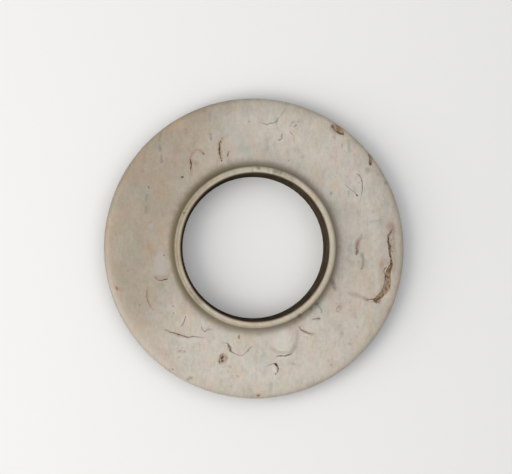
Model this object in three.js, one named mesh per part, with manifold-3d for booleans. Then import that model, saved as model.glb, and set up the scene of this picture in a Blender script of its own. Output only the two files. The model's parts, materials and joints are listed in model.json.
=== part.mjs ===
// Collared disc of polished stone, lying flat on the lower lip of its collar.
// Millimetres, +Z up along the collar. The origin lies under the middle of the flange's outline,
// on the surface that the disc rests on. The disc is carved from one stone. What else belongs to it
// is the hard earth that burial left in its fissures, pits and chips, one piece for each lump.

import * as THREE from "three";
import { mergeVertices, toCreasedNormals } from "three/addons/utils/BufferGeometryUtils.js";
import Module from "manifold-3d";

const wasm = await Module();
wasm.setup();

// Flange, whose outline is a hair longer one way than the other
const discRadius = 62;
const outlineOval = 0.17;
const ovalBearingDegrees = -37;
const flangeThickness = 4.2;
const rollOffWidth = 7.5;
const rollOffLevelShare = 0.75;
const rimFullnessShare = 0.75;

// Collar, which stands as far above the flange as below it and a little off its centre
const collarHeight = 15;
const boreFrontRadius = 30.2;
const boreBackRadius = 29.3;
const lipWall = 3.05;
const lipInnerRounding = 1.2;
const lipOuterRounding = 1;
const collarDraft = 0.3;
const footFilletRadius = 3.2;
const collarOffCentreX = -0.2;
const collarOffCentreY = 0.35;

// Fissures, pits and chips in the front face: the widest width, and the depth below the face
const eastFissureWidth = 2.7;
const eastFissureDepth = 0.9;
const innerPitWidth = 1.6;
const innerPitDepth = 0.6;
const northChipWidth = 3;
const northChipDepth = 1.4;
const eastChipWidth = 1.8;
const eastChipDepth = 1.6;
const northwestFissureWidth = 1.1;
const northwestFissureDepth = 0.7;
const westFissureWidth = 1;
const westFissureDepth = 0.6;
const southPitWidth = 3;
const southPitDepth = 0.7;
const hookCrackWidth = 1.25;
const hookCrackDepth = 0.7;

// The gap between a deposit and the sides of its cavity
const depositClearance = 0.12;

// How finely round shapes are faceted, and how far a cutter stands clear of the face it cuts
const turnSteps = 96;
const innerRoundingSteps = 3;
const outerRoundingSteps = 3;
const filletSteps = 4;
const rollOffSteps = 6;
const cutOverrun = 1;

const flangeMiddle = collarHeight / 2;
const flangeFront = flangeMiddle + flangeThickness / 2;
const lipOuterRadius = boreFrontRadius + lipWall;
const collarFootRadius = lipOuterRadius + collarDraft;
const filletEndRadius = collarFootRadius + footFilletRadius;
const rollOffRadius = discRadius - rollOffWidth;
const flangeWidth = discRadius - filletEndRadius;

// A row of a cavity is a bearing in degrees from +X, a share of the way across the flange from the
// foot fillet's end to the rim, and a share of the cavity's width. A deposit fills the rows from
// its first to its last, up to a share of the cavity's depth.
const cavities = [
  {
    name: "east_fissure",
    width: eastFissureWidth,
    depth: eastFissureDepth,
    rowShares: [
      [7.4, 0.825, 0.3],
      [6.4, 0.785, 0.36],
      [5, 0.75, 0.4],
      [2, 0.745, 0.42],
      [0.1, 0.765, 0.56],
      [-1.7, 0.765, 0.42],
      [-4.4, 0.79, 0.42],
      [-6.8, 0.795, 0.56],
      [-9.2, 0.78, 0.72],
      [-11.6, 0.765, 0.7],
      [-13.7, 0.78, 0.78],
      [-16, 0.795, 1],
      [-18.4, 0.79, 0.74],
      [-20.6, 0.75, 0.56],
      [-22.9, 0.685, 0.42],
    ],
    deposits: [
      { name: "east_fissure_upper_deposit", first: 3, last: 5, fillShare: 0.6 },
      { name: "east_fissure_lower_deposit", first: 7, last: 13, fillShare: 0.72 },
    ],
  },
  {
    name: "inner_pit",
    width: innerPitWidth,
    depth: innerPitDepth,
    rowShares: [
      [1.2, 0.22, 0.36],
      [-0.7, 0.22, 0.6],
      [-2.4, 0.225, 1],
      [-4.1, 0.235, 0.44],
    ],
    deposits: [{ name: "inner_pit_deposit", first: 1, last: 3, fillShare: 0.6 }],
  },
  {
    name: "north_chip",
    width: northChipWidth,
    depth: northChipDepth,
    rowShares: [
      [58.2, 0.935, 0.4],
      [57, 0.93, 0.86],
      [55, 0.92, 1],
      [53.2, 0.92, 0.94],
      [51.8, 0.92, 0.44],
    ],
    deposits: [{ name: "north_chip_deposit", first: 1, last: 4, fillShare: 0.35 }],
  },
  {
    name: "east_chip",
    width: eastChipWidth,
    depth: eastChipDepth,
    rowShares: [
      [39.6, 0.985, 0.4],
      [38.4, 0.975, 0.9],
      [37.2, 0.955, 1],
      [36.2, 0.925, 0.8],
      [35.4, 0.895, 0.4],
    ],
    deposits: [{ name: "east_chip_deposit", first: 1, last: 4, fillShare: 0.35 }],
  },
  {
    name: "northwest_fissure",
    width: northwestFissureWidth,
    depth: northwestFissureDepth,
    rowShares: [
      [107.2, 0.39, 0.46],
      [108.4, 0.335, 0.9],
      [109.4, 0.26, 1],
      [110.1, 0.18, 0.9],
      [110.5, 0.09, 0.5],
    ],
    deposits: [{ name: "northwest_fissure_deposit", first: 1, last: 3, fillShare: 0.6 }],
  },
  {
    name: "west_fissure",
    width: westFissureWidth,
    depth: westFissureDepth,
    rowShares: [
      [125.8, 0.325, 0.5],
      [126.9, 0.275, 1],
      [128.1, 0.22, 1],
      [130, 0.165, 0.6],
    ],
    deposits: [{ name: "west_fissure_deposit", first: 0, last: 2, fillShare: 0.6 }],
  },
  {
    name: "south_pit",
    width: southPitWidth,
    depth: southPitDepth,
    rowShares: [
      [-106.7, 0.345, 0.4],
      [-106.4, 0.395, 0.86],
      [-106.3, 0.44, 1],
      [-106.4, 0.49, 0.8],
      [-106.5, 0.53, 0.4],
    ],
    deposits: [{ name: "south_pit_deposit", first: 0, last: 4, fillShare: 0.6 }],
  },
  {
    name: "hook_crack",
    width: hookCrackWidth,
    depth: hookCrackDepth,
    rowShares: [
      [-81.1, 0.46, 0.4],
      [-79.7, 0.47, 0.86],
      [-78.9, 0.51, 1],
      [-79.1, 0.56, 0.8],
      [-79.9, 0.61, 0.44],
    ],
    deposits: [{ name: "hook_crack_deposit", first: 1, last: 3, fillShare: 0.45 }],
  },
];

const stoneMaterial = new THREE.MeshStandardMaterial({ color: 0xb4a99b, roughness: 0.42, metalness: 0 });
const depositMaterial = new THREE.MeshStandardMaterial({ color: 0x6f5a44, roughness: 0.9, metalness: 0 });

// Where a point at a bearing and a radius of the turned shape lies: about the collar's own axis up
// to the fillet's end, and from there drawn over to the flange's oval outline
function placeOnDisc(bearing, radius) {
  const share = THREE.MathUtils.clamp((radius - filletEndRadius) / flangeWidth, 0, 1);
  const fromLongAxis = bearing - THREE.MathUtils.degToRad(ovalBearingDegrees);
  const reach = radius + share * outlineOval * Math.cos(2 * fromLongAxis);
  const x = collarOffCentreX * (1 - share) + reach * Math.cos(bearing);
  const y = collarOffCentreY * (1 - share) + reach * Math.sin(bearing);
  return new THREE.Vector2(x, y);
}

function placeOnFlange([bearingDegrees, acrossShare]) {
  const bearing = THREE.MathUtils.degToRad(bearingDegrees);
  return placeOnDisc(bearing, filletEndRadius + acrossShare * flangeWidth);
}

// Points along an arc from one angle to another, both ends included
function arcPoints(centreX, centreY, radius, from, to, steps) {
  const arc = new THREE.EllipseCurve(centreX, centreY, radius, radius, from, to, to < from);
  return arc.getPoints(steps);
}

// One half of the section, from the bore over the lip and down to the rim, as radius and height
// above the flange's middle plane
function halfSection(boreRadius) {
  const lipLevel = collarHeight / 2;
  const faceLevel = flangeThickness / 2;
  const innerX = boreRadius + lipInnerRounding;
  const innerY = lipLevel - lipInnerRounding;
  const outerX = lipOuterRadius - lipOuterRounding;
  const outerY = lipLevel - lipOuterRounding;
  const filletY = faceLevel + footFilletRadius;
  const quarter = Math.PI / 2;
  const rollOff = new THREE.CubicBezierCurve(
    new THREE.Vector2(rollOffRadius, faceLevel),
    new THREE.Vector2(rollOffRadius + rollOffLevelShare * rollOffWidth, faceLevel),
    new THREE.Vector2(discRadius, rimFullnessShare * faceLevel),
    new THREE.Vector2(discRadius, 0),
  );
  return [
    ...arcPoints(innerX, innerY, lipInnerRounding, 2 * quarter, quarter, innerRoundingSteps),
    ...arcPoints(outerX, outerY, lipOuterRounding, quarter, 0, outerRoundingSteps),
    ...arcPoints(filletEndRadius, filletY, footFilletRadius, 2 * quarter, 3 * quarter, filletSteps),
    ...rollOff.getPoints(rollOffSteps),
  ];
}

// The whole section as one loop that closes on itself, at its height above the resting surface
function fullSection() {
  const front = halfSection(boreFrontRadius);
  const back = halfSection(boreBackRadius).map((point) => new THREE.Vector2(point.x, -point.y));
  const loop = [...back, ...front.reverse().slice(1), back[0].clone()];
  return loop.map((point) => new THREE.Vector2(point.x, flangeMiddle + point.y));
}

function turnedGeometry() {
  const geometry = new THREE.LatheGeometry(fullSection(), turnSteps);
  geometry.rotateX(Math.PI / 2);
  const positions = geometry.attributes.position;
  for (let i = 0; i < positions.count; i += 1) {
    const x = positions.getX(i);
    const y = positions.getY(i);
    const place = placeOnDisc(Math.atan2(y, x), Math.hypot(x, y));
    positions.setXY(i, place.x, place.y);
  }
  return geometry;
}

// The outline of a cavity in plan, drawn in all round by an inset
function ribbonShape(rows, width, inset) {
  const middle = rows.map(placeOnFlange);
  const last = middle.length - 1;
  const onLeft = [];
  const onRight = [];
  middle.forEach((point, i) => {
    const along = middle[Math.min(i + 1, last)].clone().sub(middle[Math.max(i - 1, 0)]).normalize();
    const across = new THREE.Vector2(-along.y, along.x);
    const half = (width * rows[i][2]) / 2 - inset;
    const drawnIn = (i === 0 ? inset : 0) - (i === last ? inset : 0);
    const centre = point.clone().addScaledVector(along, drawnIn);
    onLeft.push(centre.clone().addScaledVector(across, half));
    onRight.unshift(centre.clone().addScaledVector(across, -half));
  });
  return new THREE.Shape([...onLeft, ...onRight]);
}

function standingPrism(shape, foot, height) {
  const geometry = new THREE.ExtrudeGeometry(shape, { depth: height, bevelEnabled: false });
  geometry.translate(0, 0, foot);
  return geometry;
}

function cutterGeometry(cavity) {
  const outline = ribbonShape(cavity.rowShares, cavity.width, 0);
  return standingPrism(outline, flangeFront - cavity.depth, cavity.depth + cutOverrun);
}

function depositGeometry(cavity, deposit) {
  const rows = cavity.rowShares.slice(deposit.first, deposit.last + 1);
  const outline = ribbonShape(rows, cavity.width, depositClearance);
  return standingPrism(outline, flangeFront - cavity.depth, cavity.depth * deposit.fillShare);
}

function solidFrom(geometry) {
  geometry.deleteAttribute("normal");
  geometry.deleteAttribute("uv");
  const merged = mergeVertices(geometry);
  const vertProperties = new Float32Array(merged.attributes.position.array);
  const triVerts = new Uint32Array(merged.index.array);
  return new wasm.Manifold(new wasm.Mesh({ numProp: 3, vertProperties, triVerts }));
}

function geometryFrom(solid) {
  const mesh = solid.getMesh();
  const geometry = new THREE.BufferGeometry();
  geometry.setAttribute("position", new THREE.BufferAttribute(mesh.vertProperties, 3));
  geometry.setIndex(new THREE.BufferAttribute(mesh.triVerts, 1));
  return toCreasedNormals(geometry, Math.PI / 6);
}

function stoneDisc() {
  let stone = solidFrom(turnedGeometry());
  for (const cavity of cavities) {
    stone = stone.subtract(solidFrom(cutterGeometry(cavity)));
  }
  const mesh = new THREE.Mesh(geometryFrom(stone), stoneMaterial);
  mesh.name = "stone_disc";
  return mesh;
}

function depositMeshes(cavity) {
  return cavity.deposits.map((deposit) => {
    const mesh = new THREE.Mesh(depositGeometry(cavity, deposit), depositMaterial);
    mesh.name = deposit.name;
    return mesh;
  });
}

const collaredDisc = new THREE.Group();
collaredDisc.add(stoneDisc());
for (const cavity of cavities) {
  collaredDisc.add(...depositMeshes(cavity));
}

export default collaredDisc;
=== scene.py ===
import itertools
import json
import math

import bmesh
import bpy
import numpy as np
from mathutils import Matrix, Vector
from mathutils.bvhtree import BVHTree


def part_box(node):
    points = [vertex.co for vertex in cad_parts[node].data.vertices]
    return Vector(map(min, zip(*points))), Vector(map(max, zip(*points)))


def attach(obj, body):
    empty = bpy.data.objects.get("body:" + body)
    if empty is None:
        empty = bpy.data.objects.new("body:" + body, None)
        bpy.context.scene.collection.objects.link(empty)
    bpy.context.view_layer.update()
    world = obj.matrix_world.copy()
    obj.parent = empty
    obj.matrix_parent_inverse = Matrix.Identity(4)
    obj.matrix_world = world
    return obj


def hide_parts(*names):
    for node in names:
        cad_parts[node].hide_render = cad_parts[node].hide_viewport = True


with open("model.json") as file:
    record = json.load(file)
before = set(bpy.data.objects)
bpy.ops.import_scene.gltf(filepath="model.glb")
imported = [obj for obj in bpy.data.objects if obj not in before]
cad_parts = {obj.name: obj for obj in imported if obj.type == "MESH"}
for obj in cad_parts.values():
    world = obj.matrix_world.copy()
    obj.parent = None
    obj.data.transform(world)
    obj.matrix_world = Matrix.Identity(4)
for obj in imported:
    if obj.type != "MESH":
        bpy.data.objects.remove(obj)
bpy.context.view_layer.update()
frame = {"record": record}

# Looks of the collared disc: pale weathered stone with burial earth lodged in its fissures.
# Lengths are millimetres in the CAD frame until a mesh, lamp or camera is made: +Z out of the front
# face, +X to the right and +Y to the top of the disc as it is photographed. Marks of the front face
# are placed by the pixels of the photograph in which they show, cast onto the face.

MILLIMETRE = 0.001

# The stone's turned section, where the frame doesn't tell it
OUTLINE_OVAL = 0.17
OVAL_BEARING = math.radians(-37)
ROLL_OFF_WIDTH = 7.5
ROLL_OFF_LEVEL_SHARE = 0.75
RIM_FULLNESS_SHARE = 0.75
BORE_FRONT_RADIUS = 30.2
BORE_BACK_RADIUS = 29.3
LIP_WALL = 3.05
LIP_INNER_ROUNDING = 1.2
LIP_OUTER_ROUNDING = 1.0
COLLAR_DRAFT = 0.3
FOOT_FILLET_RADIUS = 3.2
COLLAR_CENTRE = np.array([-0.2, 0.35])

# The photograph's frame, and the camera that took it with the nearest and furthest that it sees
PHOTO_SIZE = (512, 474)
RIM_CENTRE_PIXEL = (254.57, 248.3)
PIXELS_PER_MILLIMETRE = 2.4215
CAMERA_DISTANCE = 900.0
CAMERA_LEAN_LEFT = math.radians(4.15)
CAMERA_LEAN_DOWN = math.radians(0.85)
CAMERA_SEES = (50.0, 5000.0)
SENSOR_WIDTH = 36.0

# The stone's mesh: base columns round the turn, base rows of each stretch from the bore's middle to
# the rim's, and how often a base cell may be halved
TURN_COLUMNS = 192
SECTION_ROWS = (5, 4, 2, 3, 2, 6, 12, 8)
FINEST_LEVEL = 4

# The least cell beside a mark, and the share of the mark's width that it may be instead. Away from
# the mark, cells grow as fast as the gap.
CELLS = {
    "crack": (0.15, 0.35), "pit": (0.3, 0), "cavity": (0.2, 0), "stain": (0.45, 0.5),
    "collar": (0.4, 0), "back_stain": (1.2, 0),
}
SCAR_CELL = 0.16
CELL_HALF_SHARE = 0.7
MARK_HALF_SHARE = 0.55

# How far from a path its effect is looked for, and the least square of a stretch's length
CELL_SEARCH = 4.0
MARK_SEARCH = 2.0
STAIN_SEARCH = 9.0
PROUD_SEARCH = 3.0
GROOVE_SEARCH = 1.0
LEAST_RUN_SQUARE = 1e-9

# Noises of the stone's shape and masks: how much, over what spacing, and the seed
NOISE_PERIOD = 48
WANDER = (0.09, 0.7, 11)
FINE_WANDER = (0.06, 0.3, 13)
STAIN_WANDER = (0.22, 1.0, 17)
RAGGED = (0.26, 1.1, 15)
SWELL = (0.035, 11.0, 41)
RIPPLE = (0.008, 2.6, 42)
BLOTS = [(0.35, 1.7, 31), (0.35, 0.8, 32)]
FOOT_PATCHES = [(1, 2.4, 51), (0.5, 0.8, 52)]
FLOOR_ROUGHNESS = [(0.06, 0.5, 61)]
BREAK_ROUGHNESS = [(0.05, 0.9, 71), (0.03, 0.35, 72)]
LUMPS = [(0.1, 0.7, 81), (0.06, 0.28, 82)]
TERRACES = [(2.5, 1.3, 83)]

# Cracks: how dark and deep from the edge to the middle, as steps over shares of the half width, and
# how dark by width. A step is where it sets in and where it ends, with its values at both where
# those aren't 0 and 1. Beads are swellings along a crack: their spacing and seed.
FACING_SHARE = 0.2
CRACK_HALF_SHARE = 0.46
CRACK_BEADS = (0.9, 21)
CRACK_BEAD_SHARE = 0.4
CRACK_DARK = (1.2, 0.25)
CRACK_CUT = (1.1, 0.1)
CRACK_STRENGTH = (0.2, 0.85, 0.42, 0.97)
CRACK_BEAD_STRENGTH_SHARE = 0.35
CRACK_DEPTH_SHARE = 0.6
CRACK_FAINT_DEPTH_SHARE = 0.4
CRACK_DEEPEST = 0.45
PIT_END_SHARE = 0.7
PIT_LEAST_RUN = 0.2

# The spots of a cavity, soft stains, the proud edges of cracks and the lip's groove
SPOT_FALL = (1.15, 0.3)
SPOT_DEPTH = 0.2
STAIN_FALL = (1, 0.3)
STAIN_HALF_SHARE = 0.62
STAIN_LEAST_SHARE = 0.65
STAIN_BLOT_SHARE = 0.7
PROUD_START_SHARE = 0.3
PROUD_WIDTHS = (0.2, 0.45)
GROOVE_FALL = (1, 0.1)
GROOVE_EARTH_SHARE = 0.3
GROOVE_POINTS = 40
GROOVE_FADE_SHARES = (0.05, 0.95)

# The ledge and the wall of a cavity, as steps over shares of its half width to shares of its depth,
# and how far down its stone counts as broken. A scar's stain, and the least share of its radii
# that a place is pushed from.
LEDGE = (1.14, 0.9, 0, 0.35)
WALL = (0.84, 0.66, 0, 0.65)
BROKEN_DROPS = (0.02, 0.25)
SCAR_STAIN_SHARE = 0.6
SCAR_HEART_SHARE = 0.05

# Lumps of earth: cells, how rows crowd at the ends, and their form
EARTH_CELL = 0.09
EARTH_LEAST_ROWS = 16
EARTH_LEAST_COLUMNS = 10
EARTH_CROWDING_SHARE = 0.35
EARTH_HALF_SHARE = 0.53
EARTH_END_SQUARENESS = 8
EARTH_CROWN_SHARE = 0.72
EARTH_SPOT_DEPTH = 0.22
EARTH_FOUNDATION = 0.06
EARTH_CLOSED_SHARE = 0.01
TERRACE_HEIGHT = 0.08
HOLLOW_HEIGHTS = (0.1, -0.16)
JOINED_WITHIN = 0.002

# How earth at the broken rim is drawn in onto the stone
INWARD_STEPS = 30
INWARD_SHARE = 0.9993
DEPOSIT_OVERHANG = 0.15

# Earth and painted shade round the collar: where its band starts to fade, how far it reaches from the
# foot with the top and bottom's, the patches' and the streaks' part of that, and how dark it is, darker
# at the left. Streaks run outward: their number in a noise period, length and height, and their noise's
# spacing and seed.
FOOT_START = 0.3
FOOT_REACH = 2.6
FOOT_UPRIGHT_REACH = 1.4
FOOT_PATCH_REACH = 0.2
FOOT_STREAK_REACH = 0.25
FOOT_STREAK_UPPER_LEFT_REACH = 0.5
FOOT_SHARE = 0.58
FOOT_UPPER_LEFT_SHARE = 0.15
FOOT_LEFT_SHARE = 0.52
FOOT_STREAKS = 8
FOOT_STREAK_NOISE = (1, 53)
FOOT_STREAK_LENGTH = 1.6
FOOT_STREAK_HEIGHT = 3

# Earth and painted shade on the lip's outer slope, with its edges from the lip's outer radius, and in
# the bore
LIP_EARTH_AND_SHADE_SHARE = 0.12
LIP_EARTH_AND_SHADE_LEFT_SHARE = 0.3
LIP_EARTH_AND_SHADE_PATCH_SHARE = 0.1
LIP_EARTH_AND_SHADE_EDGES = (-1.55, -0.75)
LIP_TO_FOOT = 0.05
BORE_FACING_SHARES = (0.1, 0.85)
BORE_EARTH_AND_SHADE_SHARE = 0.96
BORE_PATCH_SHARE = 0.06
BORE_MATERIAL_SHARE = 0.55


def mount_level(name):
    """Height of one of the record's flat mounts."""
    mount = next(m for m in frame["record"]["mounts"] if m["name"] == name)
    return mount["pos_m"][2] / MILLIMETRE


LIP_FRONT = mount_level("upper_lip")
LIP_BACK = mount_level("lower_lip")
FLANGE_FRONT = mount_level("flange_front_face")
FLANGE_BACK = mount_level("flange_back_face")
STONE_LOW, STONE_HIGH = (np.array(corner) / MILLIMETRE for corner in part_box("stone_disc"))
DISC_RADIUS = (STONE_HIGH - STONE_LOW)[:2].sum() / 4
MIDDLE = (FLANGE_FRONT + FLANGE_BACK) / 2
HALF_FLANGE = (FLANGE_FRONT - FLANGE_BACK) / 2
HALF_COLLAR = (LIP_FRONT - LIP_BACK) / 2
LIP_OUTER_RADIUS = BORE_FRONT_RADIUS + LIP_WALL
FOOT_RADIUS = LIP_OUTER_RADIUS + COLLAR_DRAFT
FILLET_END_RADIUS = FOOT_RADIUS + FOOT_FILLET_RADIUS
ROLL_OFF_RADIUS = DISC_RADIUS - ROLL_OFF_WIDTH

# Cracks of the front face: how dark the earth in one is, then rows of a pixel of the photograph
# and the crack's width there in pixels
CRACKS = {
    "east_upper": (0.68, [
        (392.6, 229.6, 1.5), (390.6, 232.4, 2.4), (388.8, 235.6, 2.8), (388.6, 241.6, 2.8),
        (390.4, 247.2, 2.9), (389.9, 252.6, 2.5), (391.4, 257.6, 2.8), (391.7, 263.5, 2.8),
        (389.6, 268.3, 2.2), (386.4, 273.4, 1.8), (385.4, 279.4, 1.6), (384, 286.4, 1.6),
        (381, 292, 1.4), (377, 297, 1.4),
    ]),
    "dotted_ring": (0.25, [
        (336.4, 311.4, 1.1), (337.4, 307.4, 1.2), (339.8, 305.2, 1.1), (342, 307, 1.2),
        (340.6, 310.6, 0.9),
    ]),
    "east_spur": (0.6, [(390.4, 252.2, 1.4), (392.6, 251.2, 1.3), (393.6, 252.4, 0.8)]),
    "east_loop": (0.8, [
        (387, 267.2, 1.2), (384.6, 268.8, 1.3), (384, 271.8, 1.3), (385.6, 274.6, 1.2),
    ]),
    "east_tail": (0.95, [
        (376.6, 298.6, 1.6), (373, 299.4, 1.4), (370.3, 298.9, 1.2), (367.4, 300.2, 1),
    ]),
    "east_tail_spur": (0.9, [(377.6, 299, 1.6), (375.4, 301.2, 1.4), (376.4, 302.8, 1)]),
    "east_tail_fray": (0.6, [(374.6, 300, 1.3), (373, 302, 0.9)]),
    "east_tail_crumb": (0.6, [(380.4, 300.6, 1.4), (378.6, 302.4, 1.2), (377.8, 301, 0.9)]),
    "mid_east": (0.15, [
        (360.4, 239.4, 0.8), (358, 242.6, 1.4), (356.8, 246.5, 1.4), (357.2, 250, 1.4),
    ]),
    "dash_north": (0.5, [
        (289.9, 126.2, 0.9), (291.6, 124.2, 1.1), (293.6, 122, 1.6), (294.6, 121.1, 1),
    ]),
    "dash_north_right": (0.55, [(294, 126.6, 1.4), (296.6, 124.8, 1.5)]),
    "arc_north": (0.45, [
        (290.4, 131.4, 1.2), (291.2, 132.8, 1.5), (293.6, 135.2, 1), (294.5, 139, 0.9),
        (294.8, 143, 0.6),
    ]),
    "north": (0.58, [
        (262.6, 122.9, 1), (266.8, 124.6, 1.3), (269.9, 123.4, 1.3), (273, 122.8, 1.2),
        (276.8, 121.4, 1.4), (279.1, 117.7, 1.1),
    ]),
    "north_faint": (0.35, [(279.4, 117.2, 0.8), (282.9, 113, 0.9), (285.6, 108.4, 0.7)]),
    "north_hook": (0.6, [
        (282, 134.6, 1.1), (282.2, 138.2, 1.4), (280.2, 140.1, 1.3), (277.4, 139.4, 0.9),
    ]),
    "northeast_arc": (0.6, [
        (356.7, 173.9, 0.9), (359.5, 175.4, 1.4), (361.4, 178.8, 1.7), (362.5, 183.2, 1.6),
        (362.7, 188.4, 1.4), (362, 192.4, 1.2), (361.3, 195.6, 0.8),
    ]),
    "northeast_line": (0.6, [
        (344.9, 184.3, 0.6), (347.9, 186.8, 0.9), (351.4, 189.6, 1), (354.9, 192.4, 1.1),
        (357, 194.6, 1.5),
    ]),
    "northwest": (0.3, [
        (222.4, 136.8, 0.6), (221, 139.4, 0.8), (219.8, 143.4, 1.2), (219.4, 147.9, 1.4),
        (219.7, 152.3, 1.3), (220.6, 156.8, 1.3), (221.9, 161.2, 1),
    ]),
    "west_northwest": (0.4, [
        (190.8, 159.4, 0.7), (191.2, 162.6, 1.2), (191.1, 166.2, 1.2), (190.6, 169.6, 0.8),
        (190.9, 174.6, 0.6),
    ]),
    "zigzag": (0.6, [
        (222.6, 342.8, 0.8), (227.9, 343.4, 1.3), (230.1, 347.4, 2.7), (231.1, 351.5, 2.3),
        (235.2, 353.7, 1.1), (240.6, 355.7, 1.2), (243.4, 355.2, 1.2), (246, 352.4, 1.1),
        (248.2, 350.9, 1.9), (249.4, 348.6, 1.3), (253.4, 345.8, 0.9),
    ]),
    "south_hook": (0.9, [
        (265.8, 366.9, 0.7), (269.2, 365.1, 0.9), (272.6, 363.9, 1), (275.6, 363.6, 1.5),
        (276.9, 364.7, 1.8), (278, 366.6, 1), (278.4, 368.6, 1.3), (277.8, 371.2, 0.9),
        (276.6, 373.2, 1.2), (275.3, 375, 0.8),
    ]),
    "oval_south": (0.9, [
        (276.7, 356.3, 1.1), (281.7, 355.6, 1.8), (285.3, 356, 1.7), (289.4, 354.6, 1.5),
        (293, 352.9, 1),
    ]),
    "southeast": (0.62, [
        (298.9, 326.2, 0.7), (301.2, 329.8, 1.3), (305.7, 332, 1.6), (309.3, 333.4, 1.4),
        (314.6, 334.3, 0.8),
    ]),
    "southeast_short": (0.6, [(312.4, 319.5, 1.1), (315.6, 318.7, 1.8), (320, 318.4, 1.9)]),
    "southwest_long": (0.9, [
        (165.2, 329.2, 0.8), (169.8, 332, 1.2), (178.4, 334.3, 1.5), (187.8, 337.4, 1.3),
        (192.4, 336.4, 1.1), (197, 336.9, 1), (205, 338, 0.6),
    ]),
    "southwest_wave": (0.6, [
        (185.8, 316.4, 1.1), (184.6, 320.6, 1.4), (183.2, 324.2, 1.3), (180.8, 326.4, 0.8),
    ]),
    "south_wave": (0.7, [
        (201.4, 326.6, 0.8), (202.6, 330, 1), (205.2, 331.7, 1.3), (207.2, 329.3, 1), (213, 328.9, 0.6),
    ]),
    "west_arc": (0.6, [
        (148.5, 285.7, 0.7), (147, 290, 0.9), (146.9, 296, 1), (148.1, 301.2, 0.9), (150.5, 307, 0.8),
        (154.6, 311.1, 0.5),
    ]),
    "west_oval": (0.9, [
        (155.4, 277.8, 0.8), (158.4, 280.1, 1), (162, 280.5, 1.3), (165.4, 279.4, 1.9), (167.8, 279, 1),
    ]),
}

# Pits: pixel, width along and across in pixels, bearing of the long way in degrees, and how dark
# the earth in one is
PITS = [
    (361.6, 268.7, 3.4, 2.8, 30, 0.4), (357.1, 195.2, 3.4, 2.2, -45, 1),
    (182.3, 177, 4.2, 2.2, 0, 0.85), (203.6, 153.5, 4.8, 2.4, -20, 0.45),
    (288.8, 160.4, 2.1, 1.8, 0, 0.8), (117.2, 288.4, 5.4, 3.6, -55, 0.35),
    (173.1, 369.4, 3, 2, -40, 0.6), (258.8, 395.5, 4.2, 2.2, 10, 0.8), (246.7, 396.3, 2.2, 1.4, 0, 0.6),
    (319.9, 318.7, 2.8, 2.1, 0, 0.75), (249.2, 121.6, 2.6, 1.6, 60, 0.5),
    (335.8, 176.6, 1.8, 1.5, 90, 0.55), (347.8, 176.8, 2, 1.5, 90, 0.55),
    (228, 154.6, 5.2, 2.4, 65, 0.25), (128.4, 270.8, 2, 1.7, 90, 0.45), (149.2, 187, 4.4, 2, 80, 0.6),
    (135.3, 204, 2.4, 1.8, 90, 0.45), (164.4, 255.2, 2.4, 1.8, 0, 0.8),
    (193.9, 346.9, 2.4, 1.6, 0, 0.6), (180, 351.1, 3, 1.8, 20, 0.6), (185, 351.6, 2.4, 1.5, 0, 0.6),
    (182.8, 347.6, 2.2, 1.3, -30, 0.6), (179.3, 357.4, 2.8, 1.6, 0, 0.6),
    (239.6, 336.9, 5, 2.2, 80, 0.45), (234, 344.1, 2, 1.5, 60, 0.6), (292.9, 363.8, 2.2, 1.8, 90, 0.25),
    (173.4, 306.1, 2.8, 1.5, 15, 0.6), (173.8, 312.8, 3, 1.6, 20, 0.6),
    (139.9, 304.8, 2.2, 1.4, 80, 0.6), (391.5, 240, 2.2, 1.6, 60, 0.6),
]
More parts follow.
